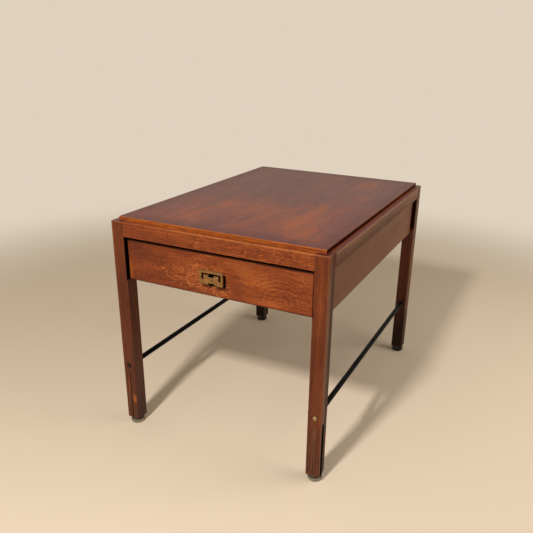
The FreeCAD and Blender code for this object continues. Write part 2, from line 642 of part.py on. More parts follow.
# Drawer back, stop and bottom, with the screws and pins that hold them
BACK_LOW = f"({FLOOR_LOW} + floor_thick)"
STOP_TOP = f"({RAIL} + stop_catch)"
stop_spots = [(x, along("front", f"{BACK_FACE} + stop_thick"), f"{SIDE_TOP} - stop_drop")
              for x in ("-stop_width / 4", "stop_width / 4")]
stop_holes = [screw("-y", "stop_screw", *spot, fit="screw_fit") for spot in stop_spots]
pin_spots = [(f"{FACE_WIDTH} * {share}", along("front", f"{BACK_FACE} - side_thick / 2"), FLOOR_LOW)
             for share in ("-0.4", "0", "0.4")]
pin_holes = [bar("+z", "pin_dia + 2 * screw_fit", "pin_length + screw_fit", *spot) for spot in pin_spots]
inside = f"({FACE_WIDTH} - 2 * side_thick)"
stock = board(f"{inside} + 2 * dado_depth", "side_thick", f"{SIDE_TOP} - {BACK_LOW}",
              across("left", f"{SIDE_IN} + side_thick - dado_depth"),
              along("front", f"{BACK_FACE} - side_thick"), BACK_LOW)
node(pare(stock, stop_holes + pin_holes), "drawer_back")
stock = block("stop_width", "stop_thick", "stop_height", "-stop_width / 2",
              along("front", BACK_FACE), f"{STOP_TOP} - stop_height")
node(pare(stock, stop_holes), "drawer_stop")
node(gather([screw("-y", "stop_screw", *spot) for spot in stop_spots]), "stop_screws")
stock = block(f"{inside} + 2 * floor_groove", f"{BACK_FACE} - {FACE_BACK} + floor_groove", "floor_thick",
              across("left", f"{SIDE_IN} + side_thick - floor_groove"),
              along("front", f"{FACE_BACK} - floor_groove"), FLOOR_LOW)
node(pare(stock, pin_holes), "drawer_bottom")
node(gather([bar("+z", "pin_dia", "pin_length", *spot) for spot in pin_spots]), "bottom_pins")

# Pull: a pierced fret plate cast with two posts
plate = board("pull_width", "pull_plate", "pull_height", "-pull_width / 2",
              along("front", f"{PULL_BACK} - pull_plate"), PULL_LOW,
              ("x- y-", "x+ y-", "y- z-", "y- z+"), "pull_ease")
PLATE_Y = along("front", f"{PULL_BACK} - pull_plate - 1")
DEEP = "(pull_plate + 2)"
slot_rise = "(pull_height - fret_head - fret_foot)"
fret = [block("fret_slot", DEEP, slot_rise, x, PLATE_Y, f"{PULL_LOW} + fret_foot")
        for x in ("-pull_width / 2 + fret_margin", "pull_width / 2 - fret_margin - fret_slot")]
fret.append(block("pull_width - 2 * fret_margin", DEEP, "fret_slot", "-pull_width / 2 + fret_margin",
                  PLATE_Y, f"{PULL_LOW} + pull_height - fret_head - fret_slot"))
fret.append(block("notch_width", DEEP, "notch_drop + 1", "-notch_width / 2", PLATE_Y,
                  f"{PULL_LOW} + pull_height - fret_head - fret_slot - notch_drop"))
fret.append(block("notch_width", DEEP, "notch_foot + 1", "-notch_width / 2", PLATE_Y, f"{PULL_LOW} - 1"))
posts = [bar("-y", "post_dia", "pull_post", spot, along("front", "drawer_recess"), PULL_AXIS)
         for spot in POST_SPOTS]
node(pare(join([pare(plate, fret)] + posts), pull_holes), "drawer_pull")

doc.recompute()
for obj in doc.Objects:
    if {"Invalid", "Error"} & set(obj.State):
        raise RuntimeError(f"{obj.Label} did not recompute: {obj.State}")
for obj in nodes:
    if obj.Shape.isNull() or not obj.Shape.isValid():
        raise RuntimeError(f"{obj.Label} has no valid shape")

os.makedirs("parts", exist_ok=True)
for obj in nodes:
    obj.Shape.exportStep(f"parts/{obj.Label}.step")
print(f"{len(nodes)} pieces written")
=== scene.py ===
"""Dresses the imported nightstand: polished mahogany, brass, blackened rods, glides and a plain studio."""

import math

import bmesh
import bpy
from bpy.props import FloatProperty, FloatVectorProperty, PointerProperty
from mathutils import Matrix, Vector


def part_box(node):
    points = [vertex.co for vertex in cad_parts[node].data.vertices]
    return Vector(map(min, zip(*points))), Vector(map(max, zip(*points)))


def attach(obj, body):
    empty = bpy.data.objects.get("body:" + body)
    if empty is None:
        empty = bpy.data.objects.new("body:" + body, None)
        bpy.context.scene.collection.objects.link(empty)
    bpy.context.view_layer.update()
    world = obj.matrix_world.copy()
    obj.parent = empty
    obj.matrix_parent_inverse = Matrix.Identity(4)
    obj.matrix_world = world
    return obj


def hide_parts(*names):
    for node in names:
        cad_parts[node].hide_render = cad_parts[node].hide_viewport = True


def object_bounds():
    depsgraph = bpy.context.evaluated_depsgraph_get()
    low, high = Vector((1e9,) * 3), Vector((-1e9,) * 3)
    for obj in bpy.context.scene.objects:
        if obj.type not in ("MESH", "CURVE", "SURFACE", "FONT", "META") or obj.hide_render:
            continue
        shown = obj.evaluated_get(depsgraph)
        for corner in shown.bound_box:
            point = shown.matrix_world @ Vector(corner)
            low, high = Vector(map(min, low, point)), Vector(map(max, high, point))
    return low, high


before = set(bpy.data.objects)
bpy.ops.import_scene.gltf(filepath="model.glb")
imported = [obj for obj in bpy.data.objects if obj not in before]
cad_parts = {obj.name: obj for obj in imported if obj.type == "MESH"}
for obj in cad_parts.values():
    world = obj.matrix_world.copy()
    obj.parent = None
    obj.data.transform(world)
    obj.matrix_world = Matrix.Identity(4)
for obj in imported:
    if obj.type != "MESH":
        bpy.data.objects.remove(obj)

bl_info = {
    "name": "Nightstand dresser",
    "version": (1, 0, 0),
    "blender": (4, 5, 0),
    "location": "View3D > Sidebar > Nightstand",
    "description": "Finishes and small turned pieces for a one-drawer mahogany nightstand",
    "category": "Object",
}

CAD_LOW, CAD_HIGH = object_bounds()
MM = 0.001
AXES = "xyz"
ENDS = ("front", "rear")
SIDES = ("left", "right")
SKIN = 0.6 * MM  # How deep the finish of an edge reaches into the top
CHECK_TOP = 165 * MM  # Height below which the front legs have fine checks
UPRIGHT = (math.pi / 2, 0.0, 0.0)  # Turns a flat or a cylinder to face the front
SHARP = math.radians(40)  # Edges sharper than this are eased
SMOOTH = math.radians(35)  # Edges flatter than this are shaded smooth
POST_SIDES = 40
BOLT_SIDES = 48
GLIDE_SIDES = 56
FLOOR_SIDES = 128
DOME_STEPS = 6  # In the turn of a glide cap
CUSHION_STEPS = 8
COVE_STEPS = 10


def kind_of(make, **kind):
    """One kind of property, written short: a name, a description and a default."""
    def written(name, description, default):
        return make(name=name, description=description, default=default, **kind)
    return written


length = kind_of(FloatProperty, unit="LENGTH", precision=5)
focal = kind_of(FloatProperty, unit="CAMERA")
angle = kind_of(FloatProperty, subtype="ANGLE")
share = kind_of(FloatProperty, subtype="FACTOR")
power = kind_of(FloatProperty, unit="POWER")
tint = kind_of(FloatVectorProperty, subtype="COLOR", size=3, min=0.0, max=1.0)
point = kind_of(FloatVectorProperty, subtype="TRANSLATION", unit="LENGTH", size=3)


class NightstandWoods(bpy.types.PropertyGroup):
    """Three colours for each wood: its dark grain, its body and the glow in its light grain."""

    top_deep: tint("Top grain", "Dark grain of the table top", (0.070, 0.0085, 0.0160))
    top_body: tint("Top body", "Body colour of the table top", (0.106, 0.0160, 0.0155))
    top_glow: tint("Top glow", "Light streaks of the table top", (0.268, 0.0445, 0.0046))
    frame_deep: tint("Frame grain", "Dark grain of the legs", (0.084, 0.0165, 0.0040))
    frame_body: tint("Frame body", "Body colour of the legs", (0.182, 0.0410, 0.0105))
    frame_glow: tint("Frame glow", "Light grain of the legs", (0.352, 0.0930, 0.0200))
    drawer_deep: tint("Drawer grain", "Dark grain of the drawer front", (0.112, 0.0215, 0.0064))
    drawer_body: tint("Drawer body", "Body colour of the drawer front", (0.228, 0.0475, 0.0114))
    drawer_glow: tint("Drawer glow", "Light grain of the drawer front", (0.450, 0.1180, 0.0260))
    # The panel colours, used too for the side rails and the back, are the wood greyed and lightened by
    # painted sheen.
    panel_deep: tint("Panel grain", "Dark grain of the side panels", (0.132, 0.0555, 0.0300))
    panel_body: tint("Panel body", "Body colour of the side panels", (0.180, 0.0810, 0.0455))
    panel_glow: tint("Panel glow", "Light grain of the side panels", (0.236, 0.1130, 0.0655))
    inner_deep: tint("Inner grain", "Dark grain of the bare inner wood", (0.190, 0.105, 0.048))
    inner_body: tint("Inner body", "Body colour of the bare inner wood", (0.330, 0.205, 0.100))
    inner_glow: tint("Inner glow", "Light grain of the bare inner wood", (0.440, 0.300, 0.165))
    # Along the arrises this colour also stands for a painted highlight.
    rubbed: tint("Rubbed edges", "Wood where the polish is rubbed through", (0.420, 0.130, 0.030))
    raw: tint("Raw wood", "Wood laid bare by a fresh scuff", (0.460, 0.1200, 0.0160))
    dry: tint("Dry lips", "Pale wood at the lips of a check", (0.300, 0.1750, 0.1050))
    ledge: tint("Ledge", "Stained upper face of the side rails", (0.125, 0.0420, 0.0400))
    # Painted highlight along the upper arris of the side rails.
    tan: tint("Tan arris", "Rubbed outer arris of the side rails", (0.300, 0.1550, 0.0880))
    # The colours of the legs' outer sides are painted: a greyed sheen, a paler painted highlight beside a
    # front arris, and painted shade.
    side: tint("Outer sides", "Dull old polish on the outer sides of the legs", (0.130, 0.0600, 0.0330))
    bloom: tint("Bloomed sides", "The same polish gone pale beside a front arris", (0.182, 0.0880, 0.0500))
    shade: tint("Shaded sides", "The same polish where it is dirtier", (0.046, 0.0185, 0.0092))
    gold: tint("Gold flecks", "Light flecks in the drawer front and the rails", (0.640, 0.2500, 0.0800))
    # Painted shade on the rounded lower edge of the side rails.
    roll: tint("Rounded edge", "Brown of the side rails' rounded lower edge", (0.076, 0.0280, 0.0110))
    # This colour is painted shade: on the top's long sides, on the rear legs and low on the inner face of
    # the front left leg.
    wax: tint("Wax", "Dark red wax on the top's long sides and the rear legs", (0.0160, 0.0024, 0.0010))
    # Black painted as shade: in the gaps round the drawer, as the pull's shadow and inside the split of the
    # front right leg.
    pitch: tint("Pitch", "Black dirt round the drawer and along a check", (0.0035, 0.0028, 0.0028))
    dust: tint("Dust", "Dull bloom low on the front legs", (0.098, 0.0380, 0.0220))
    # This colour is also painted shade in the gaps above and below the drawer front.
    grime: tint("Grime", "Dark wax and dirt in corners and low down", (0.0120, 0.0062, 0.0040))


class NightstandMetals(bpy.types.PropertyGroup):
    """Colours of the metal and rubber pieces."""

    brass: tint("Brass", "Aged brass of the pull", (0.390, 0.205, 0.078))
    tarnish: tint("Tarnish", "Brown film on the brass", (0.060, 0.030, 0.012))
    bright: tint("Bright brass", "Brass of the bolts where fingers rub it", (0.560, 0.380, 0.185))
    soot: tint("Soot", "Brass gone dark with damp", (0.0300, 0.0240, 0.0160))
    # The blue in this black stands for a painted highlight.
    black: tint("Rod black", "Blackened finish of the stretcher rods", (0.0040, 0.0042, 0.0058))
    steel: tint("Steel", "Dull steel of the glides and screws", (0.312, 0.292, 0.247))
    rust: tint("Rust", "Brown stain on the steel", (0.090, 0.052, 0.028))
    rubber: tint("Rubber", "Rubber of the glide cushions", (0.0110, 0.0100, 0.0095))
    # Grey painted on the rubber as light.
    powder: tint("Powder", "Pale dust on the rubber", (0.1500, 0.1300, 0.1050))


class NightstandPull(bpy.types.PropertyGroup):
    """Sizes of the pierced pull."""

    plate: length("Plate", "Thickness of the plate", 4 * MM)
    end_frame: length("End frame", "Frame left at the plate's ends", 5.6 * MM)
    head_frame: length("Head frame", "Frame left at the plate's top", 6.2 * MM)
    slot: length("Slot", "Width of the fret's slot", 4.2 * MM)
    foot: length("Foot", "Height left below the slot's ends", 11.5 * MM)
    arm: length("Arm", "Width of the slot's two arms", 5.2 * MM)
    notch: length("Notch", "Width of the two notches", 14 * MM)
    notch_drop: length("Notch drop", "Upper notch below the slot", 4.6 * MM)
    notch_foot: length("Notch foot", "Height of the notch in the lower edge", 4 * MM)
    ease: length("Ease", "Softened edge of the casting", 0.45 * MM)
    post: length("Post", "Diameter of a post", 9 * MM)
    spread: length("Spread", "Distance between the posts", 32 * MM)


class NightstandBolts(bpy.types.PropertyGroup):
    """Sizes of the bolts that hold the stretcher rods."""

    head: length("Head", "Head diameter", 11 * MM)
    thick: length("Thick", "Head thickness", 3 * MM)
    crown: length("Crown", "Rounding of the head", 0.9 * MM)
    slot: length("Slot", "Width of the driver slot", 0.9 * MM)
    slot_deep: length("Slot depth", "Depth of the driver slot", 0.6 * MM)
    shank: length("Shank", "Shank diameter", 6 * MM)
    reach: length("Reach", "Whole length of the bolt", 39 * MM)


class NightstandGlides(bpy.types.PropertyGroup):
    """Sizes of the glides under the legs."""

    flat: length("Flat", "Diameter that meets the floor", 24 * MM)
    turn: length("Turn", "Height of the rounded turn", 6 * MM)
    lip: length("Lip", "Width of the cap's rim", 2.8 * MM)
    recess: length("Recess", "Depth of the seat in the cap", 1 * MM)
    bulge: length("Bulge", "Swelling of the pressed cushion", 0.35 * MM)


class NightstandStage(bpy.types.PropertyGroup):
    """Camera, lamps and sweep."""

    camera: point("Camera", "Place of the camera", (0.65434, -1.41525, 0.93472))
    heading: angle("Heading", "Turn of the camera to the left", 0.44014)
    tilt: angle("Tilt", "Camera looks down by this", 0.38629)
    roll: angle("Roll", "Turn of the camera about its line of sight", 0.02051)
    lens: focal("Lens", "Focal length in millimetres", 39.99)
    shift_x: share("Shift X", "Sideways shift of the frame", -0.0255)
    shift_y: share("Shift Y", "Upward shift of the frame", 0.04216)
    floor: tint("Floor", "Pale floor and sweep", (0.800, 0.685, 0.550))
    bounce: tint("Bounce", "The floor as it lights the table from below", (0.440, 0.340, 0.250))
    sky: tint("Sky", "What lies above the sweep", (0.740, 0.640, 0.510))
    ambient: share("Ambient", "Strength of the sky as a light", 0.42)
    radius: length("Radius", "Flat part of the floor", 3.0)
    cove: length("Cove", "Radius of the sweep's turn", 0.7)
    key_place: point("Key", "Place of the main lamp", (-0.02, -2.15, 2.10))
    key_size: length("Key size", "Side of the main lamp", 0.22)
    key_power: power("Key power", "Strength of the main lamp", 55.0)
    key_tint: tint("Key colour", "Colour of the main lamp", (1.0, 0.94, 0.87))
    fill_place: point("Fill", "Place of the soft lamp at the right", (2.00, 0.30, 1.30))
    fill_size: length("Fill size", "Side of the soft lamp", 1.6)
    fill_power: power("Fill power", "Strength of the soft lamp", 20.0)
    fill_tint: tint("Fill colour", "Colour of the soft lamp", (1.0, 0.95, 0.88))


class NightstandSettings(bpy.types.PropertyGroup):
    """All that a user would change."""

    woods: PointerProperty(type=NightstandWoods)
    metals: PointerProperty(type=NightstandMetals)
    pull: PointerProperty(type=NightstandPull)
    bolts: PointerProperty(type=NightstandBolts)
    glides: PointerProperty(type=NightstandGlides)
    stage: PointerProperty(type=NightstandStage)


# Material building

def rgba(colour):
    """A colour with its alpha."""
    return (*colour, 1.0)


def shades(woods, kind):
    """The three colours of one wood, dark to light."""
    return [getattr(woods, f"{kind}_{part}") for part in ("deep", "body", "glow")]


def stretch(grain, along, across):
    """Texture scale that is drawn out along the grain, an axis letter."""
    return tuple(along if axis == grain else across for axis in AXES)


def centre(node):
    """Middle of a CAD node's box."""
    low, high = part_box(node)
    return (low + high) / 2


class Wire:
    """An output in a shader tree; what is reckoned from wires is a further node of that tree.

    Of two wires, a & b is the lesser and a | b the greater.
    """

    def __init__(self, nodes, socket):
        self.nodes = nodes
        self.socket = socket

    def __add__(self, other):
        return self.nodes.math("ADD", self, other)

    __radd__ = __add__

    def __sub__(self, other):
        return self.nodes.math("SUBTRACT", self, other)

    def __rsub__(self, other):
        return self.nodes.math("SUBTRACT", other, self)

    def __mul__(self, other):
        return self.nodes.math("MULTIPLY", self, other)

    def __and__(self, other):
        return self.nodes.math("MINIMUM", self, other)

    def __or__(self, other):
        return self.nodes.math("MAXIMUM", self, other)

    def __abs__(self):
        return self.nodes.math("ABSOLUTE", self)

    def step(self, low, high, to_low=0.0, to_high=1.0):
        """Smooth step from one range to another; low may be the greater end."""
        ranges = {"Value": self, "From Min": low, "From Max": high, "To Min": to_low, "To Max": to_high}
        return self.nodes.add("MapRange", ranges, interpolation_type="SMOOTHSTEP")


class Nodes:
    """A shader tree that is built up by calls."""

    def __init__(self, tree):
        self.tree = tree
        tree.nodes.clear()

    def node(self, kind, inputs=None, **settings):
        """A new node, with its sockets set or linked."""
        made = self.tree.nodes.new("ShaderNode" + kind)
        for name, value in settings.items():
            setattr(made, name, value)
        for name, value in (inputs or {}).items():
            if isinstance(value, Wire):
                self.tree.links.new(value.socket, made.inputs[name])
            else:
                made.inputs[name].default_value = value
        return made

    def add(self, kind, inputs=None, output=0, **settings):
        """One output of a new node."""
        return Wire(self, self.node(kind, inputs, **settings).outputs[output])

    def math(self, operation, first, second=0.0, clamp=False):
        """One step of arithmetic."""
        return self.add("Math", {0: first, 1: second}, operation=operation, use_clamp=clamp)

    def seen(self):
        """One for a ray that is seen, mirrored or passed through glass, nought for one that lights."""
        ray = self.node("LightPath")
        kinds = ("Camera", "Glossy", "Transmission")
        camera, glossy, through = (Wire(self, ray.outputs[f"Is {kind} Ray"]) for kind in kinds)
        return camera | glossy | through


class Finish(Nodes):
    """A material's tree. Its place is the Object coordinates, and x, y and z are their parts."""

    def __init__(self, name):
        self.material = bpy.data.materials.new(name)
        self.material.use_nodes = True
        super().__init__(self.material.node_tree)
        self.place = self.add("TexCoord", output="Object")
        self.x, self.y, self.z = self.parts(self.place)

    def parts(self, vector):
        """A vector's three coordinates."""
        return [Wire(self, socket) for socket in self.node("SeparateXYZ", {0: vector}).outputs]

    def vector(self, operation, first, second=(0.0, 0.0, 0.0)):
        """One step of arithmetic on vectors."""
        output = "Value" if operation in ("LENGTH", "DOT_PRODUCT") else "Vector"
        return self.add("VectorMath", {0: first, 1: second}, output, operation=operation)

    def mix(self, mask, under, over):
        """One colour laid over another by a mask; each is a plain colour or a wire."""
        under, over = (layer if isinstance(layer, Wire) else rgba(layer) for layer in (under, over))
        return self.add("Mix", {0: mask, 6: under, 7: over}, 2, data_type="RGBA")

    def noise(self, scale, seed, detail=2.0, rough=0.5, place=None, twist=0.0, output="Fac"):
        """Noise in a field of its own, with one scale or three."""
        scale = (scale, scale, scale) if isinstance(scale, float) else scale
        field = self.add("Mapping", {"Vector": place or self.place, "Scale": scale,
                                     "Location": (seed, 1.7 * seed, -2.3 * seed)})
        return self.add("TexNoise", {"Vector": field, "Scale": 1.0, "Detail": detail, "Roughness": rough,
                                     "Distortion": twist}, output)

    def swayed(self, grain, amount, seed):
        """Object coordinates whose grain wanders from side to side."""
        drift = self.noise(stretch(grain, 3.0, 5.0), seed, output="Color")
        centred = self.vector("SUBTRACT", drift, (0.5, 0.5, 0.5))
        return self.vector("ADD", self.place, self.vector("MULTIPLY", centred, stretch(grain, 0.0, amount)))

    def spot(self, middle, reach):
        """One at a place, falling to nothing at a reach, each with three sizes."""
        offset = self.vector("DIVIDE", self.vector("SUBTRACT", self.place, middle), reach)
        return self.vector("LENGTH", offset).step(0.15, 1.0, 1.0, 0.0)

    def clouds(self, origin, rows):
        """Several spots added up; a row is a place from the origin, a reach and an amount."""
        return sum(self.spot(origin + Vector(place), reach) * amount for place, reach, amount in rows)

    def insets(self, low, high):
        """How far a point lies inside a box along x, y and z."""
        offset = self.vector("ABSOLUTE", self.vector("SUBTRACT", self.place, (low + high) / 2))
        return self.parts(self.vector("SUBTRACT", (high - low) / 2, offset))

    def edge_distance(self, low, high):
        """Distance of a point on a box's face to that box's nearest edge, the middle one of its insets."""
        first, second, third = self.insets(low, high)
        return (first & second) | ((first | second) & third)

    def skin(self, low, high, letter, depth):
        """One on the two faces of a box that lie across an axis, to a small depth."""
        return self.insets(low, high)[AXES.index(letter)].step(2 * depth, depth)

    def patch(self, soft, **ranges):
        """One inside a range along each named axis, with soft borders."""
        inside = 1.0
        for letter, (near, far) in ranges.items():
            half = (far - near) / 2
            inside = abs(getattr(self, letter) - (near + half)).step(half, half - soft) * inside
        return inside

    def ramp(self, value, *colours):
        """Evenly spaced colours along a value."""
        made = self.node("ValToRGB", {0: value})
        stops = made.color_ramp.elements
        while len(stops) < len(colours):
            stops.new(0.5)
        for index, colour in enumerate(colours):
            stops[index].position = index / (len(colours) - 1)
            stops[index].color = rgba(colour)
        return Wire(self, made.outputs[0])

    def bump(self, height, depth, strength):
        """A normal from fine relief."""
        return self.add("Bump", {"Height": height, "Distance": depth, "Strength": strength})

    def surface(self, colour, rough, normal, metallic=0.0, level=0.5, ior=1.5, polish=None):
        """Ends the tree with one shader and gives back the material; a polish sets the level by place."""
        shader = self.node("BsdfPrincipled", {"Base Color": colour, "Roughness": rough, "Normal": normal,
                                              "Metallic": metallic, "Specular IOR Level": level, "IOR": ior})
        if polish:
            self.tree.links.new(polish(self).socket, shader.inputs["Specular IOR Level"])
        return self.close(Wire(self, shader.outputs[0]))

    def close(self, shader):
        """Links the last shader to the output and gives back the material."""
        self.node("OutputMaterial", {"Surface": shader})
        return self.material


def dress(node, material):
    """Gives a CAD node one finish."""
    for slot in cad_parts[node].material_slots:
        slot.material = material


def polished_wood(node, woods, kind, grain, seed, weights=(0.36, 0.40, 0.24), cloud=(3.2, 10.0), lift=0.0,
                  contrast=1.0, mottle=0.15, flecks=(120.0, 640.0), gold=0.0, pores=0.5, wear=0.12,
                  soil=None, rough=(0.32, 0.46), sheen=0.25, polish=None, shade=None, mark=None):
    """Stained and polished mahogany for one board, drawn out along its grain.

    The seed gives the board its own run of grain, and the weights are those of growth rings, broad figure
    and fibre. Cloud and flecks are the scales of the figure and of the flecks, along and across the grain;
    mottle and gold are how strong and how golden the flecks are. Lift and contrast move and spread the tone.
    Soil is an amount, a height and a colour. A shade changes tone and flecks by place, a mark is laid over
    the colour, and a polish gives the sheen by place.
    """
    colours = shades(woods, kind)
    finish = Finish(node)
    place = finish.swayed(grain, 0.020, seed)
    growth = finish.noise(stretch(grain, 1.4, 62.0), seed + 1, 4.0, 0.62, place)
    figure = finish.noise(stretch(grain, *cloud), seed + 3, 4.0, 0.58, place, 0.8)
    fibre = finish.noise(stretch(grain, 14.0, 560.0), seed + 2, 3.0, 0.6, place)
    tone = growth * weights[0] + figure * weights[1] + fibre * weights[2]
    spread = 0.15 / contrast
    tone = tone.step(0.5 - spread - lift, 0.5 + spread - lift)
    speck = finish.noise(stretch(grain, *flecks), seed + 5, 2.0, 0.55, place)
    fleck = (speck.step(0.55, 0.72) - speck.step(0.45, 0.30) * 0.8) * mottle
    if shade:
        tone, fleck = shade(finish, tone, fleck)
    colour = finish.ramp(finish.math("ADD", tone, fleck, clamp=True), *colours)
    colour = finish.mix(finish.math("MULTIPLY", fleck, gold, clamp=True), colour, woods.gold)

    pore = finish.noise(stretch(grain, 62.0, 1250.0), seed + 4, 1.0, 0.4, place).step(0.57, 0.66)
    colour = finish.mix(pore * pores, colour, [0.30 * part for part in colours[0]])
    # Lighter at the edges where the polish goes through; on the arrises this is also a painted highlight.
    patchy = finish.noise(38.0, seed + 6, 3.0, 0.6).step(0.36, 0.62, 0.15, 1.0)
    worn_and_highlit = finish.edge_distance(*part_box(node)).step(0.0006, 0.0042, 1.0, 0.0) * patchy * wear
    colour = finish.mix(worn_and_highlit, colour, woods.rubbed)
    if soil:
        amount, height, dirt = soil
        streak = finish.noise(stretch(grain, 5.0, 90.0), seed + 7, 3.0, 0.6, place)
        soiled = finish.z.step(0.0, height, amount, 0.0) * streak.step(0.30, 0.66, 0.35, 1.0)
        colour = finish.mix(soiled, colour, dirt)
    if mark:
        colour = mark(finish, colour)

    dull = fibre.step(0.3, 0.7, *rough) + worn_and_highlit * 0.12
    normal = finish.bump(fibre - pore * 0.8, 0.00035, 0.30)
    dress(node, finish.surface(colour, dull, normal, level=sheen, polish=polish))


def bare_wood(node, woods, grain, seed):
    """Plain sanded wood for the inside, with a soft grain."""
    colours = shades(woods, "inner")
    finish = Finish(node)
    place = finish.swayed(grain, 0.016, seed)
    growth = finish.noise(stretch(grain, 1.6, 48.0), seed + 1, 4.0, 0.6, place)
    fibre = finish.noise(stretch(grain, 16.0, 700.0), seed + 2, 2.0, 0.6, place)
    tone = growth * 0.65 + fibre * 0.35
    stain = finish.noise(7.0, seed + 3, 3.0, 0.6).step(0.52, 0.72, 0.0, 0.35)
    colour = finish.mix(stain, finish.ramp(tone.step(0.34, 0.66), *colours), colours[0])
    normal = finish.bump(fibre, 0.0003, 0.25)
    dress(node, finish.surface(colour, fibre.step(0.3, 0.7, 0.55, 0.72), normal, level=0.3, ior=1.45))


def aged_brass(name, metals, clean, soil):
    """Brass with a brown film, brighter in patches where the film is thin, and dark where the soil's mask
    says.
    """
    finish = Finish(name)
    speck = finish.noise(900.0, 5.0)
    film = (finish.noise(90.0, 3.0, 4.0, 0.6) + speck * 0.25).step(0.50, 0.80)
    colour = finish.mix(film * 0.6, clean, metals.tarnish)
    colour = finish.mix(soil(finish), colour, metals.soot)
    normal = finish.bump(speck, 0.00008, 0.30)
    return finish.surface(colour, film.step(0.0, 1.0, 0.36, 0.58), normal, metallic=0.9)


def black_metal(name, metals):
    """Satin black paint on a drawn rod, with dust and fine rubs along it."""
    finish = Finish(name)
    rub = finish.noise((260.0, 9.0, 260.0), 2.0, 3.0, 0.6)
    dust = finish.noise((60.0, 24.0, 60.0), 4.0, 3.0, 0.6)
    pale = [3.0 * part for part in metals.black]
    colour = finish.mix(rub.step(0.56, 0.80, 0.0, 0.55), metals.black, pale)
    normal = finish.bump(rub, 0.0001, 0.2)
    return finish.surface(colour, dust.step(0.3, 0.7, 0.30, 0.44), normal, level=0.035)


def dull_steel(name, metals, dirt=0.0):
    """Worn nickelled steel with brown stains, under a share of black; on the rear glides that black is
    painted shade.
    """
    finish = Finish(name)
    stain = finish.noise((120.0, 120.0, 160.0), 7.0, 4.0, 0.6)
    scratch = finish.noise((700.0, 700.0, 90.0), 9.0)
    colour = finish.mix(stain.step(0.50, 0.70) * 0.75, metals.steel, metals.rust)
    colour = finish.mix(dirt, colour, metals.rubber)
    normal = finish.bump(scratch, 0.0001, 0.25)
    return finish.surface(colour, scratch.step(0.3, 0.7, 0.34, 0.52), normal, metallic=0.85)


def rubber(name, metals):
    """Perished black rubber, with grey painted as light on the side that faces front and left."""
    finish = Finish(name)
    grit = finish.noise(500.0, 3.0, 3.0, 0.6)
    facing = finish.vector("DOT_PRODUCT", finish.add("NewGeometry", output="Normal"), (-0.8, -0.6, 0.0))
    lit_side = facing.step(-0.1, 0.8, 0.0, 0.8) * grit.step(0.3, 0.6, 0.5, 1.0)
    colour = finish.mix(lit_side, metals.rubber, metals.powder)
    normal = finish.bump(grit, 0.0002, 0.35)
    return finish.surface(colour, grit.step(0.3, 0.7, 0.62, 0.82), normal)


# Modelling helpers

def choose(*pieces):
    """Leaves edit mode with only these pieces selected, the first of them active."""
    if bpy.context.object and bpy.context.object.mode != "OBJECT":
        bpy.ops.object.mode_set(mode="OBJECT")
    bpy.ops.object.select_all(action="DESELECT")
    for piece in reversed(pieces):
        piece.select_set(True)
        bpy.context.view_layer.objects.active = piece


def edit(piece):
    """Edit mode on one piece alone."""
    choose(piece)
    bpy.ops.object.mode_set(mode="EDIT")


def select_all():
    """Selects the whole mesh in edit mode."""
    bpy.ops.mesh.select_all(action="SELECT")


def pick(piece, kind, wanted):
    """Selects the faces or edges that a test wants; kind is the collection's name."""
    mesh = bmesh.from_edit_mesh(piece.data)
    bpy.ops.mesh.select_mode(type={"faces": "FACE", "edges": "EDGE"}[kind])
    bpy.ops.mesh.select_all(action="DESELECT")
    for part in getattr(mesh, kind):
        part.select_set(bool(wanted(part)))
    mesh.select_flush_mode()
    bmesh.update_edit_mesh(piece.data)


def middle(part):
    """Centre of a face or an edge."""
    return sum((vertex.co for vertex in part.verts), Vector()) / len(part.verts)


def applied():
    """The active piece, with its place, turn and scale moved into its mesh."""
    bpy.ops.object.transform_apply(location=True, rotation=True, scale=True)
    return bpy.context.object


def cylinder(x, near, far, z, diameter, vertices):
    """A cylinder that runs from front to back."""
    choose()
    bpy.ops.mesh.primitive_cylinder_add(vertices=vertices, radius=diameter / 2, depth=far - near,
                                        location=(x, (near + far) / 2, z), rotation=UPRIGHT)
    return applied()


def extrude(*way):
    """Draws the selected faces out by a way."""
    bpy.ops.mesh.extrude_region_move(TRANSFORM_OT_translate={"value": way})


def turned_up(start, wide, tall, bend, steps):
    """Radius and level at each step of a round flat whose border turns up."""
    turns = [bend * step / steps for step in range(steps + 1)]
    return [(start + wide * math.sin(turn), tall * (1 - math.cos(turn))) for turn in turns]


def grow(outline, foot, draw_out):
    """Draws what is selected up along an outline of radii and levels, with an extrude operator."""
    for (wide, level), (next_wide, next_level) in zip(outline, outline[1:]):
        draw_out(TRANSFORM_OT_translate={"value": (0.0, 0.0, next_level - level)})
        scale = next_wide / wide
        bpy.ops.transform.resize(value=(scale, scale, 1.0), center_override=foot)


def settle(piece):
    """Finished mesh: place in the vertices, faces outward, soft shading."""
    edit(piece)
    select_all()
    bpy.ops.mesh.remove_doubles(threshold=1e-6)
    bpy.ops.mesh.normals_make_consistent(inside=False)
    bpy.ops.object.mode_set(mode="OBJECT")
    applied()
    bpy.ops.object.shade_smooth_by_angle(angle=SMOOTH)


def ease_edges(piece, width, segments):
    """Rounds the sharp edges with a bevel that is applied."""
    modifier = piece.modifiers.new("Ease", "BEVEL")
    modifier.width = width
    modifier.segments = segments
    modifier.limit_method = "ANGLE"
    modifier.angle_limit = SHARP
    modifier.harden_normals = False
    bpy.context.view_layer.objects.active = piece
    bpy.ops.object.modifier_apply(modifier=modifier.name)


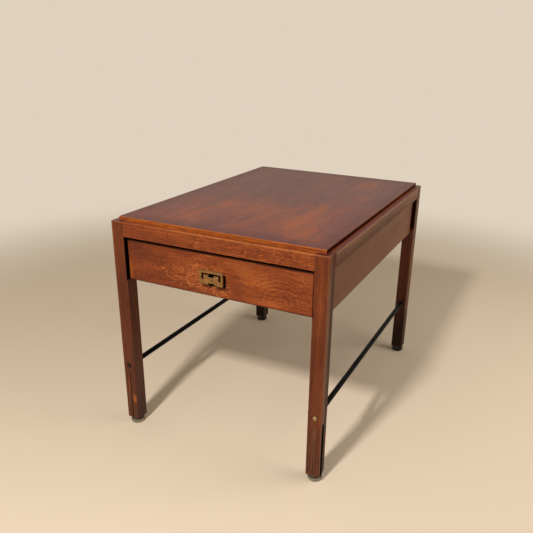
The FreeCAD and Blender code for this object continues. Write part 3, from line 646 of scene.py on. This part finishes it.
def copy_of(piece, offset=(0.0, 0.0, 0.0), turn=None):
    """A copy with its own mesh, moved, and half turned about an upright axis where one is given."""
    choose(piece)
    bpy.ops.object.duplicate(linked=False)
    if turn:
        edit(bpy.context.object)
        select_all()
        bpy.ops.transform.rotate(value=math.pi, orient_axis="Z", center_override=turn)
        bpy.ops.object.mode_set(mode="OBJECT")
    bpy.ops.transform.translate(value=offset)
    return applied()


def named(piece, name):
    """A piece with a name for itself and its mesh."""
    piece.name = name
    piece.data.name = name
    return piece


def joined(pieces, name):
    """Several pieces as one object."""
    choose(*pieces)
    bpy.ops.object.join()
    return named(pieces[0], name)


def finish_piece(piece, body, slot, material, *nodes):
    """Gives a modelled piece its material, hangs it on its body and hides the CAD nodes it replaces."""
    piece.data.materials.clear()
    piece.data.materials.append(material)
    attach(piece, body)
    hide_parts(*nodes)


# Operators

class NIGHTSTAND_OT_top(bpy.types.Operator):
    """Polish the table top"""

    bl_idname = "nightstand.top"
    bl_label = "Top"

    def execute(self, context):
        self.woods = context.scene.nightstand.woods
        polished_wood("top_panel", self.woods, "top", "y", 11.0, weights=(0.26, 0.46, 0.28),
                      cloud=(7.0, 24.0), contrast=0.46, mottle=0.40, flecks=(220.0, 420.0), pores=0.3,
                      wear=0.05, rough=(0.32, 0.42), sheen=0.27, polish=self.gloss, shade=self.clouded,
                      mark=self.edges)
        return {"FINISHED"}

    def gloss(self, finish):
        """Polish on the top, less towards its borders and none on the long sides, which carry painted shade.
        """
        low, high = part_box("top_panel")
        level = finish.skin(low, high, "x", SKIN).step(0.0, 1.0, 0.30, 0.01)
        level = level * finish.edge_distance(low, high).step(0.004, 0.060, 0.74, 1.0)
        return level * finish.y.step(0.12, 0.34, 1.0, 0.82) * finish.y.step(-0.18, -0.34, 1.0, 0.88)

    def edges(self, finish, colour):
        """Bare orange ends, and long sides in painted shade above a band of painted light at the foot; their
        arrises are lighter, the polish gone through and a painted highlight.
        """
        low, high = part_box("top_panel")
        woods = self.woods
        drop = high.z - finish.z
        streak = finish.noise((26.0, 9.0, 420.0), 31.0, 4.0, 0.65)
        bare = finish.ramp(streak.step(0.30, 0.75), *shades(woods, "drawer"))
        bright = finish.ramp(streak.step(0.27, 0.70), woods.drawer_deep, woods.raw)
        end = finish.mix(abs(finish.x).step(0.17, high.x, 0.0, 0.9), bright, bare)
        end = finish.mix(drop.step(0.0026, 0.0012, 0.0, 0.5), end, woods.rubbed)
        colour = finish.mix(finish.skin(low, high, "y", SKIN), colour, end)
        # The long sides: painted shade above, and the orange at the foot is painted light.
        side = finish.mix(drop.step(0.0088, 0.0072), bare, woods.wax)
        lip = drop.step(0.0030, 0.0010) * finish.y.step(-0.30, 0.20, 0.10, 0.45)
        side = finish.mix(lip, side, woods.rubbed)
        return finish.mix(finish.skin(low, high, "x", SKIN), colour, side)

    def clouded(self, finish, tone, fleck):
        """Dark borders, light towards the front, and broad light and dark clouds."""
        low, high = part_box("top_panel")
        tone = tone - finish.edge_distance(low, high).step(0.004, 0.060, 0.24, 0.0)
        tone = tone + finish.y.step(0.06, -0.20, 0.0, 0.13)
        tone = tone + finish.clouds(Vector((0.0, 0.0, high.z)), (
            ((0.124, -0.13, 0.0), (0.024, 0.25, 0.05), 0.36),
            ((0.12, -0.24, 0.0), (0.12, 0.14, 0.05), 0.15),
            ((-0.02, -0.15, 0.0), (0.13, 0.10, 0.05), 0.20),
            ((-0.14, -0.28, 0.0), (0.09, 0.09, 0.05), 0.14),
            ((0.14, 0.27, 0.0), (0.06, 0.14, 0.05), 0.14),
            ((-0.08, 0.13, 0.0), (0.15, 0.22, 0.05), -0.16),
            ((0.20, -0.31, 0.0), (0.07, 0.06, 0.05), 0.16),
        ))
        return tone, fleck


class NIGHTSTAND_OT_legs(bpy.types.Operator):
    """Polish the four legs"""

    bl_idname = "nightstand.legs"
    bl_label = "Legs"

    def execute(self, context):
        woods = self.woods = context.scene.nightstand.woods
        marks = {"front_left": self.split_leg, "front_right": self.checked_leg}
        lifts = {"front_left": -0.09, "front_right": -0.05}
        for index, spot in enumerate(f"{end}_{side}" for end in ENDS for side in SIDES):
            # On the rear legs this soil is painted shade, darkest low down.
            soil = (0.75, 0.36, woods.dust) if spot in marks else (1.6, 0.30, woods.wax)
            polished_wood(f"leg_{spot}", woods, "frame", "z", 20.0 + 3.7 * index, contrast=0.75, mottle=0.22,
                          wear=0.05, lift=lifts.get(spot, -0.07), soil=soil, sheen=0.18, polish=self.gloss,
                          mark=marks.get(spot, self.rear_leg))
        return {"FINISHED"}

    def outward(self, finish):
        """One on the outer sides of the legs."""
        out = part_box("leg_front_right")[1].x
        return abs(finish.x).step(out - 0.0030, out - 0.0016)

    def gloss(self, finish):
        """Polish in front, little of it on the outer sides and none where black shade is painted."""
        level = self.outward(finish).step(0.0, 1.0, 0.24, 0.05)
        for black in (self.stain, self.beside_drawer, self.corner):
            level = level * (1.0 - black(finish))
        return level

    def stain(self, finish):
        # Black along the check on the outer side: painted shade inside the split.
        low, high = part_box("leg_front_right")
        across = abs(finish.y - (low.y + 0.0096)).step(0.0050, 0.0072, 1.0, 0.0)
        return across * finish.z.step(0.162, 0.156) * finish.x.step(high.x - 0.012, high.x - 0.010)

    def outer_side(self, finish, colour):
        """Outer sides in painted sheen and shade: on the front legs a painted highlight just behind the
        front arris and painted shade further back, on the rear legs a greyed colour with painted shade low
        down; and a head in the top's dark colour.
        """
        low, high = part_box("leg_front_right")
        woods = self.woods
        colour = finish.mix((high.z - finish.z).step(0.0012, 0.0004), colour, woods.top_deep)
        front = finish.mix((finish.y - low.y).step(0.008, 0.017), woods.bloom, woods.shade)
        rear = finish.mix(finish.z.step(0.165, 0.115), woods.side, woods.shade)
        dull = finish.mix(finish.y.step(0.0, 0.1), front, rear)
        return finish.mix(self.outward(finish) * 0.92, colour, dull)

    def rear_leg(self, finish, colour):
        """Painted shade on the upper part and in the corner behind the side panel, and the painted outer
        side.
        """
        wax = self.woods.wax
        colour = finish.mix(finish.z.step(0.33, 0.41, 0.0, 0.35), colour, wax)
        return finish.mix(self.corner(finish), self.outer_side(finish, colour), wax)

    def corner(self, finish):
        """Nearly one on a rear leg's front face, where the side panel meets it."""
        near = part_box("leg_rear_right")[0].y
        low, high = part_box("side_panel_right")
        beside = finish.patch(0.016, z=(low.z + 0.006, high.z + 0.03))
        return beside * finish.patch(0.0020, y=(near - 0.0040, near + 0.0040)) * 0.94

    def arris(self, finish, colour, leg):
        """Lighter on the upper front arris and a little down the outer one: the polish gone through, and a
        painted highlight.
        """
        low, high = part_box(leg)
        out = max(-low.x, high.x)
        patchy = finish.noise(60.0, 44.0, 3.0, 0.6)
        head = finish.patch(0.0016, y=(low.y - 0.003, low.y + 0.003), z=(high.z - 0.0036, high.z + 0.003))
        head = head * patchy.step(0.3, 0.6, 0.5, 0.9) * (1.0 if high.x > 0 else 0.4)
        flank = abs(abs(finish.x) - (out - 0.0032)).step(0.0016, 0.0006)
        flank = flank * finish.z.step(0.43, high.z, 0.0, 0.7) * patchy.step(0.3, 0.6, 0.2, 0.7)
        return finish.mix(head | flank, colour, self.woods.rubbed)

    def beside_drawer(self, finish):
        """One on a leg's inner face, in the gap at the drawer's end."""
        low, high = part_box("drawer_front")
        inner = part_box("leg_front_right")[0].x
        face = abs(finish.x).step(inner + 0.0018, inner + 0.0008)
        above = finish.z.step(low.z - 0.006, low.z + 0.002)
        return face * above * finish.z.step(high.z + 0.008, high.z + 0.005)

    def band(self, finish, leg, width, top, depth):
        """A soft upright band down the middle of a leg's front face, to a depth."""
        wander = finish.noise((30.0, 30.0, 14.0), 7.0, 3.0, 0.6)
        aside = abs(finish.x - centre(leg).x + (wander - 0.5) * 0.004)
        across = aside.step(0.3 * width, width, 1.0, 0.0)
        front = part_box(leg)[0].y
        return across * finish.z.step(top, top - 0.03) * finish.y.step(front + depth, front + depth / 2)

    def front_leg(self, finish, colour, leg):
        """Outer side with painted sheen and shade, painted black shade in the gap at the drawer, fine
        checks, dirt round the bolt, and lighter arrises that are also a painted highlight.
        """
        woods = self.woods
        colour = finish.mix(self.beside_drawer(finish), self.outer_side(finish, colour), woods.pitch)
        hairs = finish.noise((330.0, 330.0, 6.0), 8.0, 2.0, 0.6).step(0.56, 0.66)
        hairs = hairs * finish.z.step(CHECK_TOP, CHECK_TOP - 0.05, 0.0, 0.7)
        colour = finish.mix(hairs, colour, woods.grime)
        bolt = (centre(leg).x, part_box(leg)[0].y, centre("stretcher_bolts").z)
        colour = finish.mix(finish.spot(bolt, (0.011, 0.006, 0.011)) * 0.9, colour, woods.grime)
        return self.arris(finish, colour, leg)

    def split_leg(self, finish, colour):
        """Dark stain round the open split, a scuff beside it that shows raw orange wood, and painted shade
        low on the inner face.
        """
        leg = "leg_front_left"
        low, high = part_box(leg)
        woods = self.woods
        colour = self.front_leg(finish, colour, leg)
        inner = (high.x - finish.x).step(0.0030, 0.0014) * finish.z.step(0.15, 0.02, 0.0, 0.7)
        colour = finish.mix(inner, colour, woods.wax)
        lip = finish.spot((low.x + 0.0125, low.y, 0.118), (0.0030, 0.005, 0.046))
        colour = finish.mix(lip * 0.40, colour, woods.raw)
        knot = finish.spot((low.x + 0.0172, low.y, 0.149), (0.0036, 0.006, 0.0060))
        stain = self.band(finish, leg, 0.0024, CHECK_TOP + 0.003, 0.004) * 0.75
        colour = finish.mix(stain | knot, colour, woods.grime)
        rag = finish.noise((260.0, 260.0, 110.0), 3.0, 3.0, 0.6).step(0.30, 0.48, 0.25, 1.0)
        scuff = finish.spot((low.x + 0.0265, low.y, 0.078), (0.0078, 0.005, 0.019))
        return finish.mix(scuff * rag, colour, woods.raw)

    def checked_leg(self, finish, colour):
        """A fine check with pale dry lips, black along the one on the outer side that is painted shade
        inside the split, and a darker head.
        """
        leg = "leg_front_right"
        woods = self.woods
        colour = self.front_leg(finish, colour, leg)
        colour = finish.mix(self.stain(finish), colour, woods.pitch)
        colour = finish.mix(finish.z.step(0.48, 0.53, 0.0, 0.42), colour, woods.drawer_deep)
        return finish.mix(self.band(finish, leg, 0.0022, CHECK_TOP, 0.016) * 0.9, colour, woods.dry)


class NIGHTSTAND_OT_rails(bpy.types.Operator):
    """Polish the rails round the top"""

    bl_idname = "nightstand.rails"
    bl_label = "Rails"

    def execute(self, context):
        woods = self.woods = context.scene.nightstand.woods
        for index, end in enumerate(ENDS):
            polished_wood(f"{end}_rail", woods, "drawer", "x", 40.0 + 5.3 * index,
                          weights=(0.24, 0.42, 0.34), lift=0.04, contrast=0.7, mottle=0.55,
                          flecks=(150.0, 560.0), gold=0.35, pores=0.7, sheen=0.24, shade=self.flecked,
                          mark=self.arris)
        for index, side in enumerate(SIDES):
            polished_wood(f"side_rail_{side}", woods, "panel", "y", 52.0 + 5.3 * index, contrast=0.7,
                          mottle=0.08, sheen=0.10, rough=(0.44, 0.56), mark=self.rounded)
        return {"FINISHED"}

    def flecked(self, finish, tone, fleck):
        """Darker ends, and flecks that thicken towards the right one."""
        low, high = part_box("front_rail")
        tone = tone + finish.x.step(low.x, low.x + 0.17, -0.20, 0.06)
        tone = tone + finish.x.step(high.x - 0.14, high.x, 0.0, -0.26)
        return tone, fleck * finish.x.step(low.x, high.x, 0.25, 1.15)

    def arris(self, finish, colour):
        """Lighter along the upper front arris, less so at the left: the polish gone through, and a painted
        highlight.
        """
        low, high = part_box("front_rail")
        patchy = finish.noise(60.0, 44.0, 3.0, 0.6).step(0.30, 0.60, 0.45, 1.0)
        edge = (high.z - finish.z).step(0.0036, 0.0020) * (finish.y - low.y).step(0.0030, 0.0012)
        return finish.mix(edge * patchy * finish.x.step(low.x, 0.0, 0.10, 1.0), colour, self.woods.rubbed)

    def rounded(self, finish, colour):
        """Painted shade towards the rounded lower edge, a painted highlight along the arris that also pales
        towards the rear, and a stained ledge on top whose inner strip is painted orange as light.
        """
        low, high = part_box("side_rail_right")
        woods = self.woods
        drop = high.z - finish.z
        colour = finish.mix(finish.z.step(high.z - 0.004, low.z + 0.004, 0.0, 0.85), colour, woods.roll)
        highlight_band = drop.step(0.0080, 0.0025, 0.0, 0.8) | finish.y.step(0.05, 0.34, 0.0, 0.30)
        colour = finish.mix(highlight_band, colour, woods.tan)
        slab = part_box("top_panel")[1].x
        stained = finish.mix((abs(finish.x) - slab).step(0.0046, 0.0030), woods.ledge, woods.frame_body)
        return finish.mix(drop.step(0.0010, 0.0003), colour, stained)


class NIGHTSTAND_OT_panels(bpy.types.Operator):
    """Polish the side panels and the back"""

    bl_idname = "nightstand.panels"
    bl_label = "Panels"

    def execute(self, context):
        woods = context.scene.nightstand.woods
        plain = {"contrast": 0.45, "mottle": 0.10, "sheen": 0.14, "rough": (0.48, 0.60)}
        for index, side in enumerate(SIDES):
            seed = 70.0 + 5.3 * index
            polished_wood(f"side_panel_{side}", woods, "panel", "y", seed, shade=self.faded, **plain)
        polished_wood("back_panel", woods, "panel", "x", 83.0, **plain)
        return {"FINISHED"}

    def faded(self, finish, tone, fleck):
        """Paler towards the rear."""
        low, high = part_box("side_panel_right")
        return tone + finish.y.step(low.y, high.y, -0.16, 0.26), fleck


class NIGHTSTAND_OT_drawer(bpy.types.Operator):
    """Polish the drawer front and finish its box"""

    bl_idname = "nightstand.drawer"
    bl_label = "Drawer"

    def execute(self, context):
        woods = self.woods = context.scene.nightstand.woods
        polished_wood("drawer_front", woods, "drawer", "x", 91.0, weights=(0.16, 0.52, 0.32), contrast=0.7,
                      mottle=0.80, flecks=(150.0, 340.0), gold=0.8, wear=0.05, sheen=0.24, polish=self.gloss,
                      shade=self.figured, mark=self.dirt)
        for index, side in enumerate(SIDES):
            bare_wood(f"drawer_side_{side}", woods, "y", 100.0 + 4.1 * index)
        for index, part in enumerate(("back", "bottom", "stop")):
            bare_wood(f"drawer_{part}", woods, "x", 110.0 + 4.0 * index)
        return {"FINISHED"}

    def edges(self, finish):
        """One on the upper and lower edges of the front."""
        return finish.skin(*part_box("drawer_front"), "z", 0.0017)

    def gloss(self, finish):
        """Polish on the face, none on those edges and round the pull, where shade and the pull's shadow are
        painted.
        """
        return (self.edges(finish) | self.behind(finish)).step(0.0, 1.0, 0.24, 0.02)

    def behind(self, finish):
        """One behind the pull and a little below it: the plate's shadow, painted."""
        low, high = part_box("drawer_pull")
        plate = finish.patch(0.002, x=(low.x + 0.012, high.x - 0.0010), z=(low.z - 0.0095, high.z - 0.010))
        arm = finish.patch(0.004, x=(low.x - 0.006, low.x + 0.020), z=(low.z + 0.002, low.z + 0.023))
        return plate | (arm * 0.9)

    def dirt(self, finish, colour):
        """Painted shadow of the pull, painted shade along the upper and lower edges, and a lower left corner
        that shows raw wood.
        """
        low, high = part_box("drawer_front")
        woods = self.woods
        colour = finish.mix(self.behind(finish), colour, woods.pitch)
        corner = finish.spot((low.x + 0.004, low.y, low.z + 0.012), (0.011, 0.02, 0.060))
        colour = finish.mix(corner * 0.35, colour, woods.raw)
        upper = (high.z - finish.z).step(0.0042, 0.0022)
        return finish.mix((self.edges(finish) | upper) * 0.85, colour, woods.grime)

    def figured(self, finish, tone, fleck):
        """Flecks to the left of the pull and below it, and curled figure to the right."""
        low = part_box("drawer_front")[0]
        pull = centre("drawer_pull")
        face = Vector((pull.x, low.y, pull.z))
        tone = tone - finish.x.step(pull.x - 0.02, low.x + 0.04, 0.0, 0.17)
        tone = tone + finish.clouds(face, (
            ((0.09, 0.0, -0.01), (0.20, 0.05, 0.10), 0.15),
            ((0.005, 0.0, low.z + 0.016 - pull.z), (0.075, 0.05, 0.026), 0.18),
            ((0.046, 0.0, -0.008), (0.038, 0.05, 0.050), -0.22),
        ))
        near = 0.16 + finish.clouds(face, (
            ((-0.065, 0.0, -0.012), (0.13, 0.05, 0.042), 0.85),
            ((0.0, 0.0, -0.028), (0.07, 0.05, 0.03), 1.0),
            ((-0.03, 0.0, 0.014), (0.07, 0.05, 0.03), 0.5),
        ))
        curl = face + Vector((0.165, 0.0, -0.035))
        offset = finish.vector("DIVIDE", finish.vector("SUBTRACT", finish.place, curl), (1.25, 1.0, 1.0))
        rings = finish.vector("LENGTH", offset) * 620.0 + finish.noise((22.0, 22.0, 44.0), 5.0) * 14.0
        within = finish.spot(face + Vector((0.165, 0.0, -0.005)), (0.10, 0.05, 0.07))
        return tone + finish.math("SINE", rings) * 0.13 * within, fleck * near


class NIGHTSTAND_OT_carcase(bpy.types.Operator):
    """Finish the bare wood inside the case"""

    bl_idname = "nightstand.carcase"
    bl_label = "Carcase"

    def execute(self, context):
        woods = context.scene.nightstand.woods
        for index, side in enumerate(SIDES):
            bare_wood(f"runner_{side}", woods, "y", 130.0 + 4.1 * index)
            bare_wood(f"shut_stop_{side}", woods, "y", 140.0 + 4.1 * index)
            for end in ENDS:
                bare_wood(f"corner_block_{end}_{side}", woods, "z", 150.0 + 4.1 * index)
        bare_wood("top_bearer", woods, "x", 160.0)
        bare_wood("rail_dowels", woods, "x", 165.0)
        return {"FINISHED"}


class NIGHTSTAND_OT_rods(bpy.types.Operator):
    """Blacken the stretcher rods and finish the hidden fasteners"""

    bl_idname = "nightstand.rods"
    bl_label = "Rods and fasteners"

    def execute(self, context):
        metals = context.scene.nightstand.metals
        black = black_metal("black_rod", metals)
        for side in SIDES:
            dress(f"stretcher_{side}", black)
        steel = dull_steel("screw_steel", metals)
        for node in ("runner_screws", "top_screws", "stop_screws", "pull_screws", "bottom_pins",
                     "glide_stems"):
            dress(node, steel)
        return {"FINISHED"}


class NIGHTSTAND_OT_pull(bpy.types.Operator):
    """Model the pierced pull: a plate cut to a fret, on two posts"""

    bl_idname = "nightstand.pull"
    bl_label = "Pull"

    def execute(self, context):
        settings = context.scene.nightstand
        size = settings.pull
        low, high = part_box("drawer_pull")
        level = centre("drawer_pull").z
        plate = self.plate(size, low, high)
        ease_edges(plate, size.ease, 3)
        parts = [plate]
        for x in (-size.spread / 2, size.spread / 2):
            post = cylinder(x, low.y + size.plate, high.y, level, size.post, POST_SIDES)
            ease_edges(post, size.ease, 2)
            parts.append(post)
        pull = joined(parts, "fret_pull")
        settle(pull)
        brass = aged_brass("aged_brass_pull", settings.metals, settings.metals.brass, self.hollows)
        finish_piece(pull, "drawer", "brass", brass, "drawer_pull")
        return {"FINISHED"}

    def plate(self, size, low, high):
        """The plate with its openings cut through."""
        left, right = low.x + size.end_frame, high.x - size.end_frame
        head = high.z - size.head_frame
        foot = low.z + size.foot
        notch = size.notch / 2
        # Left, right, bottom and top of each opening
        openings = (
            (left, left + size.arm, foot, head),
            (right - size.arm, right, foot, head),
            (left, right, head - size.slot, head),
            (-notch, notch, head - size.slot - size.notch_drop, head),
            (-notch, notch, low.z, low.z + size.notch_foot),
        )

        def in_opening(face):
            spot = middle(face)
            return any(a < spot.x < b and c < spot.z < d for a, b, c, d in openings)

        choose()
        spot = (low + high) / 2
        bpy.ops.mesh.primitive_plane_add(size=1.0, location=(spot.x, low.y, spot.z), rotation=UPRIGHT)
        bpy.context.object.scale = (high.x - low.x, high.z - low.z, 1.0)
        made = applied()
        edit(made)
        for x in sorted({x for opening in openings for x in opening[:2]}):
            select_all()
            bpy.ops.mesh.bisect(plane_co=(x, 0.0, 0.0), plane_no=(1.0, 0.0, 0.0))
        for z in sorted({z for opening in openings for z in opening[2:]}):
            select_all()
            bpy.ops.mesh.bisect(plane_co=(0.0, 0.0, z), plane_no=(0.0, 0.0, 1.0))
        pick(made, "faces", in_opening)
        bpy.ops.mesh.delete(type="FACE")
        select_all()
        bpy.ops.mesh.dissolve_limited(angle_limit=math.radians(1))
        select_all()
        extrude(0.0, size.plate, 0.0)
        select_all()
        bpy.ops.mesh.normals_make_consistent(inside=False)
        bpy.ops.object.mode_set(mode="OBJECT")
        return made

    def hollows(self, finish):
        """The walls of the fret and the plate's back, where dirt stays."""
        low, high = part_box("drawer_pull")
        aside, _, below = finish.insets(low, high)
        behind = (finish.y - low.y).step(0.0004, 0.0012)
        return behind * (aside & below).step(0.0004, 0.0012, 0.0, 0.97)


class NIGHTSTAND_OT_bolts(bpy.types.Operator):
    """Model the four slotted bolts that hold the stretcher rods"""

    bl_idname = "nightstand.bolts"
    bl_label = "Bolts"

    def execute(self, context):
        settings = context.scene.nightstand
        size = settings.bolts
        low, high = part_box("stretcher_bolts")
        x = low.x + size.head / 2
        spot = centre("stretcher_bolts")
        bolt = cylinder(x, low.y, low.y + size.thick, spot.z, size.head, BOLT_SIDES)
        edit(bolt)
        pick(bolt, "edges", lambda edge: middle(edge).y < low.y + size.thick / 4)
        bpy.ops.mesh.bevel(offset=size.crown, segments=5, profile=0.5, affect="EDGES")
        pick(bolt, "faces", lambda face: face.normal.y > 0.9)
        bpy.ops.mesh.inset(thickness=(size.head - size.shank) / 2)
        extrude(0.0, size.reach - size.thick, 0.0)
        for edge in (spot.z - size.slot / 2, spot.z + size.slot / 2):
            pick(bolt, "faces", lambda face: face.normal.y < -0.9)
            bpy.ops.mesh.bisect(plane_co=(x, low.y, edge), plane_no=(0.0, 0.0, 1.0))
        half = size.slot / 2
        pick(bolt, "faces", lambda face: face.normal.y < -0.9 and abs(middle(face).z - spot.z) < half)
        extrude(0.0, size.slot_deep, 0.0)
        settle(bolt)
        pair = [bolt, copy_of(bolt, (high.x - low.x - size.head, 0.0, 0.0))]
        rear = [copy_of(made, turn=(made_x, spot.y, spot.z)) for made, made_x in zip(pair, (x, -x))]
        bolts = joined(pair + rear, "rod_bolts")
        brass = aged_brass("aged_brass_bolts", settings.metals, settings.metals.bright,
                           lambda finish: finish.spot((x, low.y, spot.z), (0.03, 0.03, 0.03)))
        finish_piece(bolts, "case", "brass", brass, "stretcher_bolts")
        return {"FINISHED"}


class NIGHTSTAND_OT_glides(bpy.types.Operator):
    """Model the glides: a spun steel cap and a pressed rubber cushion under each leg"""

    bl_idname = "nightstand.glides"
    bl_label = "Glides"

    def execute(self, context):
        settings = context.scene.nightstand
        # The rear glides are darkened as painted shade.
        steels = {"front": dull_steel("glide_steel", settings.metals),
                  "rear": dull_steel("glide_steel_soiled", settings.metals, 0.9)}
        black = rubber("glide_rubber", settings.metals)
        first = f"{ENDS[0]}_{SIDES[0]}"
        cap = self.cap(settings.glides, f"glide_cap_{first}")
        cushion = self.cushion(settings.glides, f"glide_cushion_{first}")
        for end in ENDS:
            for side in SIDES:
                spot = f"{end}_{side}"
                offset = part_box(f"glide_cap_{spot}")[0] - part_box(f"glide_cap_{first}")[0]
                for model, kind, slot, material in ((cap, "cap", "glide_steel", steels[end]),
                                                    (cushion, "cushion", "glide_rubber", black)):
                    made = copy_of(model, offset) if spot != first else model
                    named(made, f"spun_{kind}_{spot}")
                    finish_piece(made, "case", slot, material, f"glide_{kind}_{spot}")
        return {"FINISHED"}

    def spun(self, node, outline):
        """A round piece in a node's place, grown from a flat foot along an outline."""
        foot = centre(node)
        foot.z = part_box(node)[0].z
        choose()
        bpy.ops.mesh.primitive_circle_add(vertices=GLIDE_SIDES, radius=outline[0][0], fill_type="NGON",
                                          location=foot)
        made = applied()
        edit(made)
        select_all()
        grow(outline, foot, bpy.ops.mesh.extrude_region_move)
        settle(made)
        return made

    def cap(self, size, node):
        """Flat foot, domed turn, upright wall, rolled rim and a shallow seat."""
        low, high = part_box(node)
        top = high.z - low.z
        outer = (high.x - low.x) / 2
        inner = outer - size.lip
        rim = size.lip / 4
        outline = turned_up(size.flat / 2, outer - size.flat / 2, size.turn, math.pi / 2,
                            DOME_STEPS)
        outline += [(outer, top - rim), (outer - 0.3 * rim, top - 0.3 * rim), (outer - rim, top),
                    (inner + rim, top), (inner, top - rim), (inner, top - size.recess)]
        return self.spun(node, outline)

    def cushion(self, size, node):
        """A rubber disc that swells between the cap and the leg."""
        low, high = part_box(node)
        radius = (high.x - low.x) / 2 - size.bulge
        outline = []
        for step in range(CUSHION_STEPS + 1):
            part = step / CUSHION_STEPS
            outline.append((radius + size.bulge * math.sin(math.pi * part), (high.z - low.z) * part))
        return self.spun(node, outline)


class NIGHTSTAND_OT_stage(bpy.types.Operator):
    """Set up the round sweep, the lamps, the sky and the camera"""

    bl_idname = "nightstand.stage"
    bl_label = "Stage"

    def execute(self, context):
        stage = context.scene.nightstand.stage
        self.sweep(stage)
        self.sky(context.scene, stage)
        self.lamp("key", stage.key_place, stage.key_size, stage.key_power, stage.key_tint)
        self.lamp("fill", stage.fill_place, stage.fill_size, stage.fill_power, stage.fill_tint)
        self.camera(context.scene, stage)
        context.scene.view_settings.view_transform = "Standard"
        return {"FINISHED"}

    def sweep(self, stage):
        """A round floor that turns up into a wall on every side."""
        choose()
        bpy.ops.mesh.primitive_circle_add(vertices=FLOOR_SIDES, radius=stage.radius, fill_type="NGON")
        made = bpy.context.object
        made.name = "sweep"
        edit(made)
        pick(made, "edges", lambda edge: True)
        outline = turned_up(stage.radius, stage.cove, stage.cove, math.pi / 3, COVE_STEPS)
        grow(outline, (0.0, 0.0, 0.0), bpy.ops.mesh.extrude_edges_move)
        bpy.ops.object.mode_set(mode="OBJECT")
        bpy.ops.object.shade_smooth()
        made.data.materials.append(self.plaster(stage))

    def plaster(self, stage):
        """A matt floor that keeps its shadows and fades to an even pale wall further out."""
        finish = Finish("pale_sweep")
        cloud = finish.noise(1.1, 1.0).step(0.3, 0.7, 0.0, 0.06)
        seen = finish.seen()
        colour = finish.mix(seen, stage.bounce, finish.mix(cloud, stage.floor, stage.sky))
        matt = finish.add("BsdfDiffuse", {"Color": colour})
        even = finish.add("Emission", {"Color": rgba(stage.sky), "Strength": 1.0})
        wall = finish.vector("LENGTH", finish.place).step(0.4 * stage.radius, 0.8 * stage.radius)
        return finish.close(finish.add("MixShader", {0: wall * seen, 1: matt, 2: even}))

    def sky(self, scene, stage):
        """Pale where it is seen or mirrored, dimmer as a light."""
        scene.world = bpy.data.worlds.new("studio_sky")
        scene.world.use_nodes = True
        nodes = Nodes(scene.world.node_tree)
        strength = nodes.add("MapRange", {"Value": nodes.seen(), "To Min": stage.ambient, "To Max": 1.0})
        back = nodes.add("Background", {"Color": rgba(stage.sky), "Strength": strength})
        nodes.node("OutputWorld", {"Surface": back})

    def lamp(self, name, place, size, watts, colour):
        """A soft square lamp that faces the table."""
        data = bpy.data.lights.new(name, "AREA")
        data.size = size
        data.energy = watts
        data.color = colour
        made = bpy.data.objects.new(name, data)
        bpy.context.collection.objects.link(made)
        aim = (CAD_LOW + CAD_HIGH) / 2 - Vector(place)
        made.matrix_world = Matrix.Translation(place) @ aim.to_track_quat("-Z", "Y").to_matrix().to_4x4()
        made.visible_camera = False

    def camera(self, scene, stage):
        """The photograph's viewpoint."""
        data = bpy.data.cameras.new("camera")
        data.lens = stage.lens
        data.shift_x = stage.shift_x
        data.shift_y = stage.shift_y
        made = bpy.data.objects.new("camera", data)
        scene.collection.objects.link(made)
        turn = Matrix.Rotation(stage.heading, 4, "Z")
        turn = turn @ Matrix.Rotation(math.pi / 2 - stage.tilt, 4, "X")
        turn = turn @ Matrix.Rotation(stage.roll, 4, "Z")
        made.matrix_world = Matrix.Translation(stage.camera) @ turn
        scene.camera = made


OPERATORS = (
    NIGHTSTAND_OT_top,
    NIGHTSTAND_OT_legs,
    NIGHTSTAND_OT_rails,
    NIGHTSTAND_OT_panels,
    NIGHTSTAND_OT_drawer,
    NIGHTSTAND_OT_carcase,
    NIGHTSTAND_OT_rods,
    NIGHTSTAND_OT_pull,
    NIGHTSTAND_OT_bolts,
    NIGHTSTAND_OT_glides,
    NIGHTSTAND_OT_stage,
)


class NIGHTSTAND_PT_panel(bpy.types.Panel):
    """Lists the nightstand's operators"""

    bl_idname = "NIGHTSTAND_PT_panel"
    bl_label = "Nightstand"
    bl_space_type = "VIEW_3D"
    bl_region_type = "UI"
    bl_category = "Nightstand"

    def draw(self, context):
        for operator in OPERATORS:
            self.layout.operator(operator.bl_idname)


CLASSES = (NightstandWoods, NightstandMetals, NightstandPull, NightstandBolts, NightstandGlides,
           NightstandStage, NightstandSettings, *OPERATORS, NIGHTSTAND_PT_panel)


def register():
    """Adds the classes and the settings."""
    for made in CLASSES:
        bpy.utils.register_class(made)
    bpy.types.Scene.nightstand = PointerProperty(type=NightstandSettings)


def unregister():
    """Takes them away again."""
    del bpy.types.Scene.nightstand
    for made in reversed(CLASSES):
        bpy.utils.unregister_class(made)


def main():
    """Registers the add-on and runs its operators in order."""
    register()
    bpy.ops.nightstand.top()
    bpy.ops.nightstand.legs()
    bpy.ops.nightstand.rails()
    bpy.ops.nightstand.panels()
    bpy.ops.nightstand.drawer()
    bpy.ops.nightstand.carcase()
    bpy.ops.nightstand.rods()
    bpy.ops.nightstand.pull()
    bpy.ops.nightstand.bolts()
    bpy.ops.nightstand.glides()
    bpy.ops.nightstand.stage()


if __name__ == "__main__":
    main()
